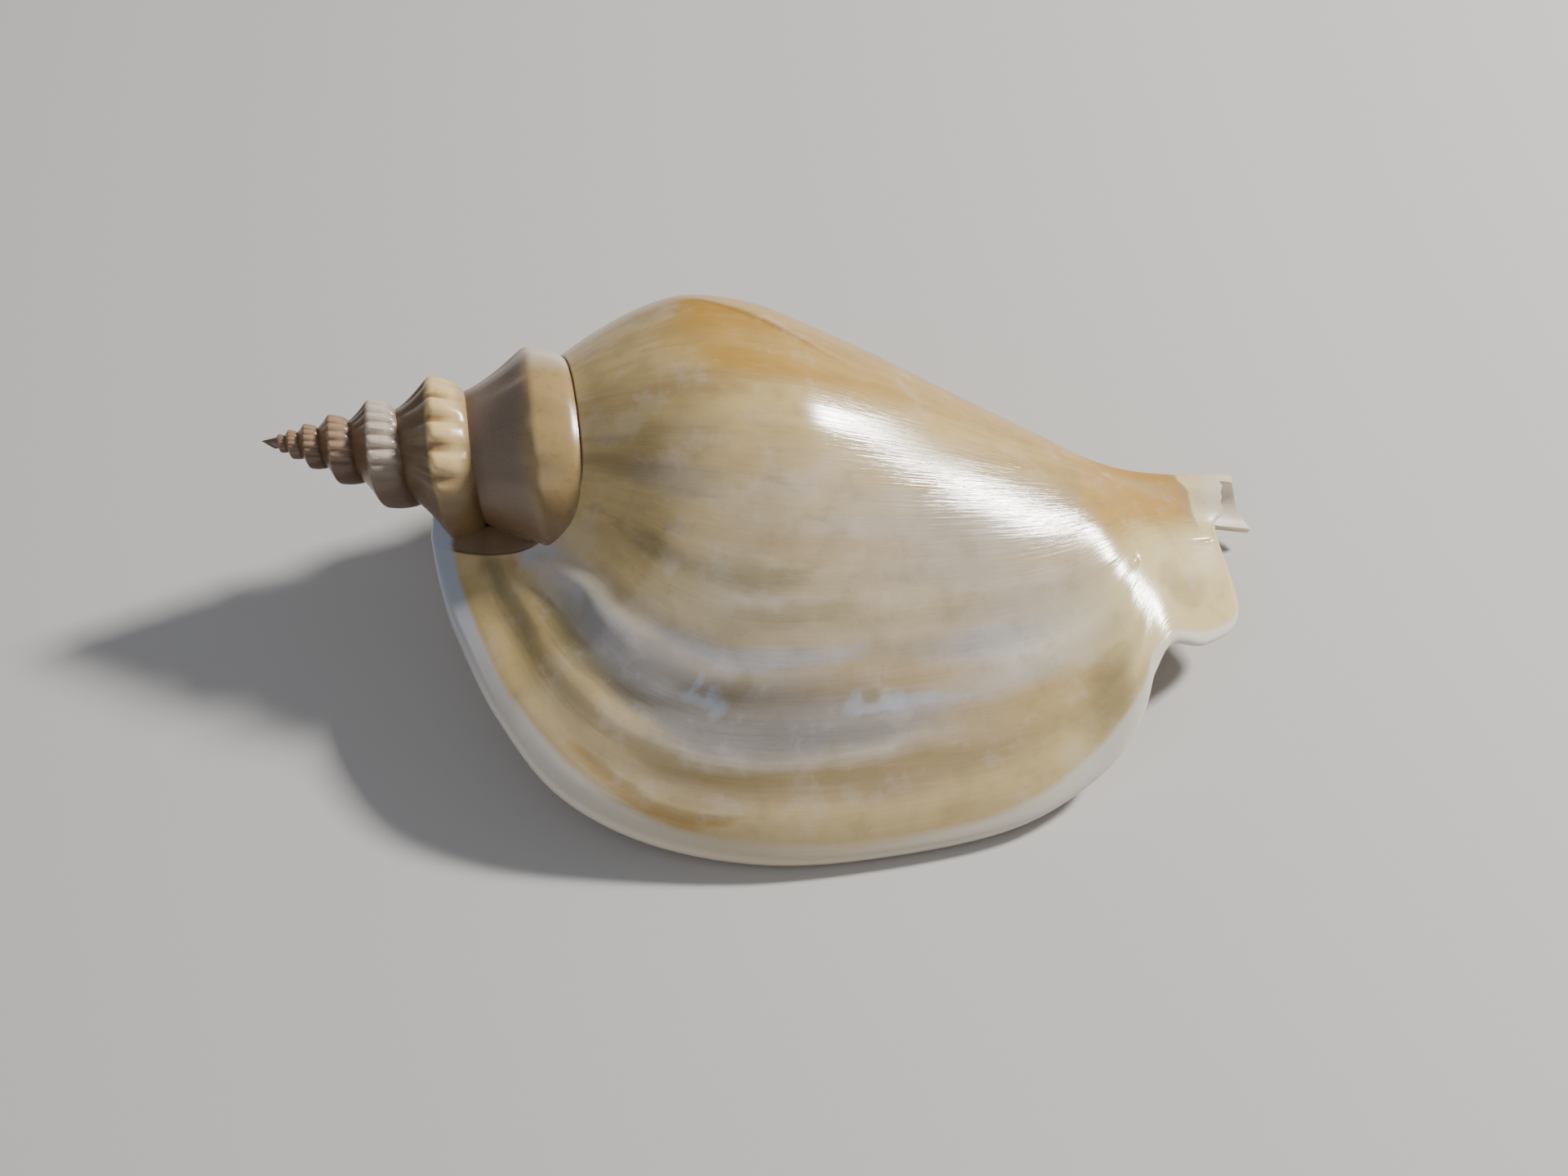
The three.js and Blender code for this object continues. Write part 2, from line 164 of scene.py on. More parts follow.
# The ridge down the back: its stripes and growth angles, and the crease along it
RIDGE_ROUTE = ((2.6, -33), (3.2, -27), (4.4, -18), (5.6, -4), (7, 6))
CREASE = {"height": 0.08 * MM, "reach": 4, "stripes": (2.6, 3.4, 5.4, 7)}

# Damage beside the canal: a small pit, and a crack that leans by some degrees for each stripe
PIT = {"depth": 0.18 * MM, "growth": (78, 1.6), "stripes": (11, 0.12)}
CRACK = {"depth": 0.14 * MM, "at": 78.5, "leans": 1.2, "reach": 0.8, "stripes": (13.7, 0.26)}

# Ribs and knobs of the spire: whorls grown, ribs in a whorl, height as a share of the shoulder's
# radius, and the share of that height left at the foot of the whorl
RIBS = (
    (-7, 19, 0.03, 0.75),
    (-4, 19, 0.045, 0.75),
    (-3.4, 22, 0.05, 0.75),
    (-2.8, 22, 0.055, 0.75),
    (-2.2, 16, 0.07, 0.4),
    (-2, 16, 0.07, 0.25),
    (-1.5, 16, 0.06, 0.2),
    (-1.15, 13, 0.028, 0.12),
    (-0.5, 13, 0, 0.12),
    (1, 13, 0, 0.12),
)

# The ribs start by a share of a rib late, are squarer and broader than a plain wave, and are worn
# away on the side that faces the lip. The shares are of the ramp or of the wall.
RIBS_LATE = 0.6
RIBS_WORN = (50, 85, 225, 290)
RIB_STARTS_POWER = 1.5
RIB_FADES = 1.3
RIBS_END = (0.86, 1)
RIB_SQUARE = 1.8
RIB_BROAD = 0.4
RIBS_COLOURED_FROM = 0.02

# A whorl of the spire: its hollow ramp, its bulging wall and the pinch beside the suture, as shares of
# the shoulder's radius
SPIRE_WHORLS_FROM = -7.6
RAMP_HOLLOW_POWER = 1.4
WALL_BULGE = 0.015
SUTURE_PINCH = {"by": 0.022, "ramp": (0, 0.3), "wall": (0.85, 1)}

# The column inside the last whorl
COLUMN_END_GROWTH = -200
BURIED_OVER = 8
COLUMN_STRIPES = (6, 11.6)
COLUMN_GAP = 0.4 * MM
COLUMN_THINS = {"by": 0.45, "over": (7, 12)}
COLUMN_LEAN = {"angle": 225, "out": 1.3 * MM, "over": (8, 12)}
COLUMN_TIP_ALONG = 58 * MM

# How the shell lies, in degrees, as its solid does
PITCH = 8.65
ROLL = -1.9
YAW = 0.99

# How fine the mesh is. Columns crowd together by waves of a size and of half turns over the shell.
INNER_ROWS = 114
OUTER_PER_INNER = 3
OUTER_ROWS = INNER_ROWS * OUTER_PER_INNER
ROWS_CROWD_POWER = 1.2
RIM_ROWS = 9
STRIPE_COLUMNS = 150
COLUMNS_CROWD = ((-0.045, 2), (0.03, 4))
STEPS_PER_WHORL = 120
RAMP_STEPS = 8
WALL_STEPS = 14
COLUMN_STEPS = 10
RIB_COUNT_STEPS = 4001
SMOOTH_WITHIN = math.radians(48)

# The mesh's map holds growth in whorls and the stripe's share. The rim goes on past the lip, and the
# inner face goes on from there, so that one map tells the outside from the inside. The spire's part
# of the map starts further on, and the end of the column lies past all of it.
RIM_SPAN = 10
SPIRE_MAP_FROM = 2
COLUMN_END_MAP = 20

# The finish of the shell
SHELL_FINISH = {
    "IOR": 1.53,
    "Specular IOR Level": 0.7,
    "Subsurface Weight": 0.15,
    "Subsurface Radius": (1, 0.75, 0.5),
    "Subsurface Scale": 0.8 * MM,
}

# The studio's floor, lights and air
FLOOR_SIZE = 4
FLOOR_ROUGHNESS = 0.7
MID_GREY = (0.5, 0.5, 0.5)
KEY_LIGHT = {"size": 0.06, "at": (0.307, 0.135, 0.28), "tint": (1, 0.97, 0.93)}
FILL_LIGHT = {"size": 0.5, "at": (-0.194, -0.292, 0.438), "tint": (0.93, 0.96, 1)}
AIR = {"Color": (0.86, 0.9, 1, 1), "Strength": 0.22}

# The photograph's view: a 60 mm lens looking down from the lip's side
CAMERA_AT = Vector((4.773, -110.691, 137.497)) * MM
CAMERA_LOOKS = Vector((-0.02179, 0.64394, -0.76477))
CAMERA_RIGHT = Vector((0.99961, 0.00038, -0.02817))
CAMERA_SEES_FROM = 0.01
LENS = 60
SENSOR = 36


def srgb(red, green, blue):
    """A colour as a picture shows it, from 0 to 255, turned into the linear one that a shader uses."""
    def linear(value):
        share = value / 255
        return share / 12.92 if share <= 0.04045 else ((share + 0.055) / 1.055) ** 2.4
    return linear(red), linear(green), linear(blue)


def colour(name, red, green, blue, description):
    return FloatVectorProperty(name=name, description=description, subtype="COLOR", size=3,
                               min=0, max=1, default=srgb(red, green, blue))


def length(name, millimetres, description):
    return FloatProperty(name=name, description=description, default=millimetres * MM, unit="LENGTH")


def power(name, watts, description):
    return FloatProperty(name=name, description=description, default=watts, min=0, unit="POWER")


class ShellShape(bpy.types.PropertyGroup):
    """Sizes that a maker would change."""
    wall: length("Wall", 1.15, "Thickness of the last whorl's wall")
    rim_extra: length("Rim", 0.75, "What the rolled rim adds to the wall")
    knob: length("Knob", 0.45, "Height of the broad knob on the back")
    fold: length("Fold", 0.28, "Height of the fold where the lip once paused")
    groove: length("Groove", 0.22, "Depth of the groove inside the rim")
    ripples: length("Ripples", 0.03, "Height of the ripples along the growth lines")


class ShellColours(bpy.types.PropertyGroup):
    """The shell's own colours."""
    cream: colour("Cream", 208, 182, 124, "Most of the last whorl")
    tan: colour("Tan", 190, 162, 110, "Streaks along the growth lines")
    orange: colour("Orange", 178, 132, 28, "The back and the foot of the canal")
    ochre: colour("Ochre", 158, 137, 92, "Bands on the back and inside the rim")
    brown: colour("Brown", 112, 74, 40, "The line on the back and the suture")
    lilac: colour("Lilac grey", 191, 180, 166, "The middle of the last whorl")
    violet: colour("Violet grey", 142, 137, 134, "The band behind the fold on the lip")
    olive: colour("Olive", 140, 128, 86, "Patches beside the fold and the notch")
    white: colour("White", 226, 219, 208, "The rim, the scars and the third whorl")
    blue: colour("Bluish white", 178, 188, 204, "The rim beside the spire")
    # Partly the lobe's own cream, partly a painted glow of light through its thin wall
    cream_and_glow: colour("Canal cream", 228, 209, 152, "The thin wall of the canal's lobe")
    inside: colour("Inside", 246, 228, 200, "The opening and the column")
    # Used behind the spire, where its darkness is partly painted shade under the spire
    suture: colour("Suture", 92, 64, 42, "The line between the last whorl and the spire")
    stain: colour("Stain", 66, 40, 24, "Stains along the suture")


class StudioLook(bpy.types.PropertyGroup):
    """The floor and the lights."""
    floor: colour("Floor", 205, 202, 198, "The pale studio floor")
    key: power("Key light", 3, "Power of the main light behind the canal")
    fill: power("Fill light", 0.5, "Power of the soft light over the shell")


def ease(start, end, value):
    share = np.clip((np.asarray(value, float) - start) / (end - start), 0, 1)
    return share * share * (3 - 2 * share)


def mixed(low, high, share):
    return low + (high - low) * share


def bell(value, middle, half_width):
    return np.exp(-((value - middle) / half_width) ** 2)


def window(value, start, full, fades, gone):
    """Rises from 0 to 1 between the first two, and falls again between the last two."""
    return ease(start, full, value) * (1 - ease(fades, gone, value))


def smooth_list(values, at):
    """A value between the entries of a list, on the smooth curve through them."""
    values = np.asarray(values, float)
    at = np.clip(np.asarray(at, float), 0, len(values) - 1)
    low = np.minimum(at.astype(int), len(values) - 2)
    share = at - low
    start, end = values[low], values[low + 1]
    before = np.where(low > 0, values[np.maximum(low - 1, 0)], 2 * start - end)
    last = len(values) - 1
    after = np.where(low < last - 1, values[np.minimum(low + 2, last)], 2 * end - start)
    return 0.5 * (2 * start + (end - before) * share
                  + (2 * before - 5 * start + 4 * end - after) * share ** 2
                  + (3 * start - before - 3 * end + after) * share ** 3)


STRIPE_SIZES = np.array(STRIPES, float)
WHORL_OUT, WHORL_ALONG, _, LIP_OUT, LIP_ALONG, _, _ = (STRIPE_SIZES * MM).T
_, _, LIP_ANGLE, _, _, FLARE_GROWTH, FLARE_POWER = STRIPE_SIZES.T
BROKEN_GROWTH, BROKEN_ALONG = np.array(BROKEN_END, float).T

# Shares over the ramp and down the wall of a whorl of the spire, and the stripes of the column
RAMP = np.linspace(0, 1, RAMP_STEPS + 1)[None]
WALL = np.linspace(0, 1, WALL_STEPS + 1)[None, 1:]
COLUMN = np.linspace(*COLUMN_STRIPES, COLUMN_STEPS)[None]


def place(angle, out, along):
    """A point on the shell's own axes: x along the axis, z towards the back."""
    turned = np.radians(angle)
    return np.stack([along + 0 * out, -out * np.sin(turned), out * np.cos(turned)], -1)


def whorls_grown(growth):
    return (np.asarray(growth, float) - SHOULDER_GROWTH) / 360


def leaning(growth, out, along):
    """A distance along the axis once the spire's lean is added."""
    by = SPIRE_LEANS["by"] * (1 - ease(*SPIRE_LEANS["gone_over"], growth))
    return along - by * out * np.cos(np.radians(growth - SPIRE_LEANS["angle"]))


def spiral_at(growth):
    grown = whorls_grown(growth)
    return SHOULDER_OUT * RADIUS_PER_WHORL ** grown, SHOULDER_ALONG * DISTANCE_PER_WHORL ** grown


def shoulder_at(growth):
    out, along = spiral_at(growth)
    return out, leaning(growth, out, along)


def suture_on_spiral(growth):
    """The suture before the spire's lean."""
    settled = np.minimum(whorls_grown(growth), SUTURE_SETTLES_AT)
    shares = [
        on_spire + more * kept ** -settled
        for on_spire, more, kept in (SUTURE_OUT, SUTURE_ALONG)
    ]
    out, along = spiral_at(growth)
    return out * shares[0], along * shares[1]


def suture_at(growth):
    out, along = suture_on_spiral(growth)
    return out, leaning(growth, out, along)


def plain_whorl(growth, stripe):
    """Distances out and along on the last whorl's plain spiral. Towards the canal it stops growing."""
    grown = whorls_grown(growth)
    here_out, here_along = smooth_list(WHORL_OUT, stripe), smooth_list(WHORL_ALONG, stripe)
    radius_grows = 1 - ease(*WHORL_GROWTH_STOPS["radius"], stripe)
    distance_grows = 1 - (ease(*WHORL_GROWTH_STOPS["distance"], stripe)
                          ** WHORL_GROWTH_STOPS["distance_power"])
    broken = np.interp(growth, BROKEN_GROWTH, BROKEN_ALONG) * MM - WHORL_ALONG[LAST_STRIPE]
    suture_out, suture_along = suture_on_spiral(growth)
    at_suture = np.maximum(0, 1 - stripe / SHOULDER_STRIPE) ** 2
    out = here_out * RADIUS_PER_WHORL ** (grown * radius_grows)
    out = out + (suture_out - WHORL_OUT[0] * RADIUS_PER_WHORL ** grown) * at_suture
    along = here_along * DISTANCE_PER_WHORL ** (grown * distance_grows)
    along = along + (suture_along - WHORL_ALONG[0] * DISTANCE_PER_WHORL ** grown) * at_suture
    return out, leaning(growth, out, along + broken * np.maximum(0, stripe - LAST_STRIPE + 1))


def along_rim(feature, growth, stripe):
    """How much of a rim's feature there is, from 0 to 1."""
    return ease(*feature["growth"], growth) * window(stripe, *feature["stripes"])


def wing_lead(growth, stripe):
    on_wing = window(growth, *WING_LEADS["growth"]) * window(stripe, *WING_LEADS["stripes"])
    return WING_LEADS["by"] * on_wing


def last_whorl(growth, stripe, knob_height):
    """The last whorl's outer face, which leaves the spiral and flares out to the lip's edge."""
    growth, stripe = np.broadcast_arrays(np.asarray(growth, float), np.asarray(stripe, float))
    flare_growth = smooth_list(FLARE_GROWTH, stripe)
    flare_power = smooth_list(FLARE_POWER, stripe)
    out, along = plain_whorl(growth, stripe)
    lip_out, lip_along = plain_whorl(np.full_like(growth, LIP_GROWTH), stripe)
    share = np.maximum(0, (growth - flare_growth) / (LIP_GROWTH - flare_growth))
    rise = share ** flare_power
    drift = share ** np.maximum(LEAST_DRIFT_POWER, flare_power - DRIFT_LAGS)
    knob = knob_height * bell(growth, *KNOB["growth"]) * bell(stripe, *KNOB["stripes"])
    lifted = RIM_RISES["height"] * along_rim(RIM_RISES, growth, stripe)
    return place(
        growth + wing_lead(growth, stripe) + (smooth_list(LIP_ANGLE, stripe) - LIP_GROWTH) * drift,
        out + (smooth_list(LIP_OUT, stripe) - lip_out) * rise + knob + lifted,
        along + (smooth_list(LIP_ALONG, stripe) - lip_along) * drift,
    )


def unit(vectors):
    never_zero = 1e-15
    return vectors / (np.linalg.norm(vectors, axis=-1, keepdims=True) + never_zero)


def growth_direction(growth, stripe, knob):
    step_back = 0.5
    return unit(last_whorl(growth, stripe, knob) - last_whorl(growth - step_back, stripe, knob))


def outwards(growth, stripe, knob):
    """The direction square to the outer face."""
    step = 0.02
    low, high = np.maximum(0, stripe - step), np.minimum(LAST_STRIPE, stripe + step)
    across = last_whorl(growth, high, knob) - last_whorl(growth, low, knob)
    return unit(np.cross(growth_direction(growth, stripe, knob), across))


def ridge_growth(stripe):
    """The growth angle of the low ridge that runs down the back."""
    stripes, growths = zip(*RIDGE_ROUTE)
    return np.interp(stripe, stripes, growths)


def relief(growth, stripe, shape):
    """Height of the fine forms over the smooth face."""
    wander = sum(size * np.sin(turns * stripe + start) for size, turns, start in LINES_WANDER)
    fold = bell(growth, FOLD["at"] + wander, FOLD["reach"])
    hollow = FOLD["hollow"] * bell(growth, FOLD["hollow_at"] + wander, FOLD["hollow_reach"])
    fold = shape.fold * (fold - hollow) * window(stripe, *FOLD["stripes"])
    groove = shape.groove * bell(growth, GROOVE["at"] + GROOVE["wanders"] * wander, GROOVE["reach"])
    groove = groove * window(stripe, *GROOVE["stripes"])
    swell = sum(
        weight * np.sin(turns * growth + lean * stripe + start)
        for turns, lean, start, weight in RIPPLE_WAVES
    )
    on_flare = window(growth, *RIPPLES["flare"]) * ease(*RIPPLES["from_suture"], stripe)
    kept = (1 - ease(*RIPPLES["canal"], stripe)) * ease(*RIPPLES["back"], growth)
    ripples = shape.ripples * swell * (RIPPLES["off_flare"] + on_flare) * kept
    crease = CREASE["height"] * bell(growth, ridge_growth(stripe), CREASE["reach"])
    crease = crease * window(stripe, *CREASE["stripes"])
    pit = PIT["depth"] * bell(growth, *PIT["growth"]) * bell(stripe, *PIT["stripes"])
    crack_at = CRACK["at"] + CRACK["leans"] * (stripe - CRACK["stripes"][0])
    crack = CRACK["depth"] * bell(growth, crack_at, CRACK["reach"]) * bell(stripe, *CRACK["stripes"])
    return fold - groove + ripples + crease - pit - crack


def wall_thickness(growth, stripe, shape):
    wall = mixed(shape.wall, CANAL_WALL, ease(*CANAL_THINS_OVER, stripe))
    at_break = ease(*BREAK_THINS["stripes"], stripe) * (1 - ease(*BREAK_THINS["growth"], growth))
    return mixed(wall, BROKEN_WALL, at_break) + shape.rim_extra * along_rim(RIM_THICKENS, growth, stripe)


def closed_grid(ids):
    """Quads over a grid whose columns are closed loops."""
    here, beside = ids[:-1], ids[1:]
    turned, turned_beside = np.roll(here, -1, 1), np.roll(beside, -1, 1)
    return np.stack([here, turned, turned_beside, beside], -1).reshape(-1, 4)


def open_grid(ids):
    """Quads over a grid of rows with open ends."""
    return np.stack([ids[:-1, :-1], ids[1:, :-1], ids[1:, 1:], ids[:-1, 1:]], -1).reshape(-1, 4)


def new_piece(name, points, faces, grown, crest):
    """A mesh object from points, faces and two maps of its face corners: their growth and their ribs."""
    mesh = bpy.data.meshes.new(name)
    mesh.from_pydata(points, [], faces)
    for layer, values in (("grown", grown), ("ribs", np.stack([crest, 0 * crest], -1))):
        mesh.uv_layers.new(name=layer).uv.foreach_set("vector", np.asarray(values, np.float32).ravel())
    mesh.validate()
    piece = bpy.data.objects.new(name, mesh)
    bpy.context.scene.collection.objects.link(piece)
    return piece


def to_part(points):
    """Points on the shell's own axis, laid down as the solid lies."""
    pitch, roll, yaw = (math.radians(angle) for angle in (PITCH, ROLL, YAW))
    turn = Matrix.Rotation(yaw, 3, "Z") @ Matrix.Rotation(pitch, 3, "Y") @ Matrix.Rotation(roll, 3, "X")
    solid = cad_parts[SHELL_NODE].data.vertices
    tip = min((vertex.co for vertex in solid), key=lambda corner: corner.x)
    return points @ np.array(turn).T + np.array(tip)


def column_stripes():
    """Stripes of the mesh's columns, closer together on the canal and beside the suture."""
    share = np.linspace(0, 1, STRIPE_COLUMNS)
    crowded = sum(size * np.sin(turns * np.pi * share) for size, turns in COLUMNS_CROWD)
    return LAST_STRIPE * (share + crowded)


def wall_growths(stripe, last):
    """Growth angles of the outer face's rows, closer together towards the lip."""
    start = WALL_START + SLIT_ANGLE * ease(*SLIT_OVER, stripe)
    share = np.linspace(0, 1, OUTER_ROWS + 1)[None]
    return start + (last - start) * (1 - (1 - share) ** ROWS_CROWD_POWER)


def outer_face(growth, stripe, shape):
    """The smooth outer face with its fine forms raised on it."""
    raised = outwards(growth, stripe, shape.knob) * relief(growth, stripe, shape)[..., None]
    return last_whorl(growth, stripe, shape.knob) + raised


def inner_face(growth, stripe, shape):
    """The inner face, a wall's thickness under the smooth outer one."""
    deep = outwards(growth, stripe, shape.knob) * wall_thickness(growth, stripe, shape)[..., None]
    return last_whorl(growth, stripe, shape.knob) - deep


def rolled_rim(lip, stripe, half_wall, knob):
    """Rows of points half round the lip's edge, from the outer face to the inner one."""
    normal, forward = outwards(lip, stripe, knob), growth_direction(lip, stripe, knob)
    half_wall = half_wall[..., None]
    centre = last_whorl(lip, stripe, knob) - (normal + forward) * half_wall
    turned = np.linspace(math.pi / 2, -math.pi / 2, RIM_ROWS + 2)[None, 1:-1, None]
    return centre + half_wall * (normal * np.sin(turned) + forward * np.cos(turned))


def sunk_loop(loop, depth):
    """A loop pulled in towards the axis, so that the suture's edge lies inside the whorl before it."""
    out = np.hypot(loop[:, 1], loop[:, 2])
    share = (out - depth) / out
    return loop * np.stack([np.ones_like(share), share, share], -1)


def wall_end(loop):
    """Faces that close the wall at one end: a strip from face to face, and one over the rolled rim."""
    outside, rim, inside = np.split(loop, [OUTER_ROWS + 1, OUTER_ROWS + 1 + RIM_ROWS])
    inside = inside[::-1]
    strip = [
        [*outside[OUTER_PER_INNER * row:OUTER_PER_INNER * (row + 1) + 1], inside[row + 1], inside[row]]
        for row in range(INNER_ROWS)
    ]
    return strip + [[outside[-1], *rim, inside[-1]]]


def grow_last_whorl(shape):
    """The last whorl as one closed wall, from the suture to the canal and out to the rolled rim."""
    stripe = column_stripes()[:, None]
    lip = np.full_like(stripe, LIP_GROWTH)
    half_wall = wall_thickness(lip, stripe, shape) / 2
    last_degree = last_whorl(lip, stripe, shape.knob) - last_whorl(lip - 1, stripe, shape.knob)
    rim_degrees = half_wall / np.linalg.norm(last_degree, axis=-1)
    outer_growth = wall_growths(stripe, LIP_GROWTH - np.minimum(rim_degrees, RIM_DEGREES_MOST))
    inner_growth = outer_growth[:, ::OUTER_PER_INNER][:, ::-1]
    loops = np.concatenate([
        outer_face(outer_growth, stripe, shape),
        rolled_rim(lip, stripe, half_wall, shape.knob),
        inner_face(inner_growth, stripe, shape),
    ], 1)
    rim_growth = LIP_GROWTH + RIM_SPAN * np.linspace(0, 1, RIM_ROWS + 2)[1:-1]
    around = np.concatenate([
        outer_growth,
        np.broadcast_to(rim_growth, (STRIPE_COLUMNS, RIM_ROWS)),
        2 * LIP_GROWTH + RIM_SPAN - inner_growth,
    ], 1)

    # The suture's edge goes on into the whorl before it, as one more loop
    hidden_edge = sunk_loop(loops[0], EDGE_SUNK)
    settled = EDGE_SETTLES * (1 - ease(0, 1, stripe[:, 0]))
    loops = np.stack([hidden_edge, *(sunk_loop(loop, depth) for loop, depth in zip(loops, settled))])
    around = np.concatenate([around[:1], around])
    stripes = np.broadcast_to(np.concatenate([stripe[:1], stripe]), around.shape)
    grown = np.stack([around / 360, stripes / LAST_STRIPE], -1).reshape(-1, 2)

    ids = np.arange(around.size).reshape(around.shape)
    quads = closed_grid(ids)
    faces = quads.tolist()
    corners = [grown[quads].reshape(-1, 2)]
    for loop, order in ((ids[0], -1), (ids[-1], 1)):
        for end in wall_end(loop):
            mapped = [point if point in loop[:OUTER_ROWS + 1] else end[0] for point in end]
            faces.append(end[::order])
            corners.append(grown[mapped[::order]])
    points = to_part(loops.reshape(-1, 3))
    corners = np.concatenate(corners)
    return new_piece("last_whorl", points.tolist(), faces, corners, np.zeros(len(corners)))


def spire_ribs(growth):
    """The ribs' wave round the spire, their height, and the share of it that the foot keeps."""
    at, count, height, foot = np.array(RIBS, float).T
    fine = np.linspace(at[0], at[-1], RIB_COUNT_STEPS)
    turns = np.interp(fine, at, count)
    passed = np.concatenate([[0], np.cumsum((turns[1:] + turns[:-1]) / 2 * np.diff(fine))])
    whorls = whorls_grown(growth)
    turned = 2 * np.pi * (np.interp(whorls, fine, passed) - RIBS_LATE)
    wave = np.tanh(RIB_SQUARE * (np.cos(turned) + RIB_BROAD)) / np.tanh(RIB_SQUARE)
    wave = wave * (1 - window(np.mod(growth, 360), *RIBS_WORN))
    return wave, np.interp(whorls, at, height), np.interp(whorls, at, foot)


def spire_band(growth):
    """Rows from suture to suture, out over the ramp and down the wall, and how high on a rib each is."""
    suture_out, suture_along = suture_at(growth)
    shoulder_out, shoulder_along = shoulder_at(growth)
    next_out, next_along = suture_at(growth + 360)
    wave, height, foot_left = spire_ribs(growth)
    rib = wave * height * shoulder_out
    pinch = SUTURE_PINCH["by"] * shoulder_out
    buried = COLUMN_GAP * ease(WALL_START - BURIED_OVER, WALL_START, growth)

    on_ramp = RAMP ** RIB_STARTS_POWER
    ramp_out = mixed(suture_out, shoulder_out, RAMP ** RAMP_HOLLOW_POWER)
    ramp_out = ramp_out - pinch * (1 - ease(*SUTURE_PINCH["ramp"], RAMP)) + rib * on_ramp - buried
    ramp = place(growth, ramp_out, mixed(suture_along, shoulder_along, RAMP))

    on_wall = mixed(1, foot_left, np.minimum(1, WALL * RIB_FADES)) * (1 - ease(*RIBS_END, WALL))
    wall_out = mixed(shoulder_out, next_out, WALL ** 2) + WALL_BULGE * shoulder_out * np.sin(np.pi * WALL)
    wall_out = wall_out - pinch * ease(*SUTURE_PINCH["wall"], WALL) + rib * on_wall - buried
    wall = place(growth, wall_out, mixed(shoulder_along, next_along, WALL))

    band = np.concatenate([ramp, wall], 1)
    band[:, 1:-1] = (band[:, :-2] + 2 * band[:, 1:-1] + band[:, 2:]) / 4
    standing = np.concatenate([on_ramp + 0 * wave, on_wall + 0 * wave], 1)
    return band, 0.5 + 0.5 * wave * standing * (height > RIBS_COLOURED_FROM)


def column_band(growth):
    """The column inside the last whorl, which thins and leans towards the canal."""
    out, along = plain_whorl(growth, np.broadcast_to(COLUMN, (len(growth), COLUMN_STEPS)))
    thin = 1 - COLUMN_THINS["by"] * ease(*COLUMN_THINS["over"], COLUMN)
    lean = place(COLUMN_LEAN["angle"], COLUMN_LEAN["out"] * ease(*COLUMN_LEAN["over"], COLUMN), 0)
    return place(growth, (out - COLUMN_GAP) * thin, along) + lean


def spire_faces(ids, foot, tip, end):
    """Quads over the part that shows and over the hidden last turn, then what closes them at both ends."""
    last_turn = len(ids) - 1 - STEPS_PER_WHORL
    inside, outside = ids[last_turn], ids[-1]
    triangles = [(ids[at, -1], ids[at + 1, -1], end) for at in range(last_turn, len(ids) - 1)]
    triangles += [(tip, ids[at + 1, 0], ids[at, 0]) for at in range(STEPS_PER_WHORL)]
    triangles += [(tip, ids[0, row], ids[0, row + 1]) for row in range(foot)]
    triangles += [(outside[0], outside[row + 1], outside[row]) for row in range(1, foot)]
    triangles.append((inside[-1], end, outside[-1]))
    closing = [
        (inside[row], inside[row + 1], outside[row + 1], outside[row])
        for row in range(foot, ids.shape[1] - 1)
    ]
    shown = open_grid(ids[:last_turn + 1, :foot + 1])
    return shown, open_grid(ids[last_turn:]), np.array(triangles), np.array(closing)


def grow_spire():
    """The spire and the column: one band that winds on, its foot joined to the next suture."""
    step = 360 / STEPS_PER_WHORL
    first = SPIRE_WHORLS_FROM * 360 + SHOULDER_GROWTH
    count = round((COLUMN_END_GROWTH - first) / step)
    growth = COLUMN_END_GROWTH - (count - np.arange(count + 1)[:, None]) * step
    band, crest = spire_band(growth)
    foot = band.shape[1] - 1
    rows = np.concatenate([band, column_band(growth)], 1)
    column_end = place(COLUMN_LEAN["angle"], np.array(COLUMN_LEAN["out"]), COLUMN_TIP_ALONG)
    points = np.concatenate([rows.reshape(-1, 3), [[0, 0, 0]], [column_end]])
    crest = np.concatenate([crest, np.full((count + 1, COLUMN_STEPS), 0.5)], 1)
    crest = np.concatenate([crest.ravel(), [0.5, 0.5]])
    share = np.concatenate([RAMP[0] / 2, 0.5 + WALL[0] / 2, 1 + COLUMN[0]])
    grown = np.stack(np.broadcast_arrays(growth / 360, SPIRE_MAP_FROM + share[None]), -1).reshape(-1, 2)
    grown = np.concatenate([grown, [
        [first / 360, SPIRE_MAP_FROM + 0.5],
        [COLUMN_END_GROWTH / 360, COLUMN_END_MAP],
    ]])

    ids = np.arange(crest.size - 2).reshape(rows.shape[:2])
    sutures = ids[STEPS_PER_WHORL:, 0]
    ids[:len(sutures), foot] = sutures
    groups = spire_faces(ids, foot, ids.size, ids.size + 1)
    shown_map = grown[groups[0]]
    at_foot = np.isin(groups[0], sutures) & (np.arange(4)[None] >= 2)
    shown_map[at_foot] = shown_map[at_foot] * (1, 0) + (-1, SPIRE_MAP_FROM + 1)
    corners = np.concatenate([
        shown_map.reshape(-1, 2),
        *(grown[group].reshape(-1, 2) for group in groups[1:]),
    ])
    crest = np.concatenate([crest[group.ravel()] for group in groups])
    used = np.unique(np.concatenate([group.ravel() for group in groups]))
    renumbered = np.zeros(len(points), int)
    renumbered[used] = np.arange(len(used))
    faces = [face for group in groups for face in renumbered[group].tolist()]
    return new_piece("spire", to_part(points[used]).tolist(), faces, corners, crest)


def join_whorls(whorl, spire):
    """Fuses the spire into the last whorl, with the faces that end up inside taken away."""
    bpy.ops.object.select_all(action="DESELECT")
    whorl.select_set(True)
    bpy.context.view_layer.objects.active = whorl
    fuse = whorl.modifiers.new("spire", "BOOLEAN")
    fuse.operation = "UNION"
    fuse.solver = "MANIFOLD"
    fuse.object = spire
    bpy.ops.object.modifier_apply(modifier=fuse.name)
    bpy.data.objects.remove(spire)
    whorl.name = whorl.data.name = "conch_shell"
    bpy.ops.object.shade_smooth_by_angle(angle=SMOOTH_WITHIN)
    return whorl


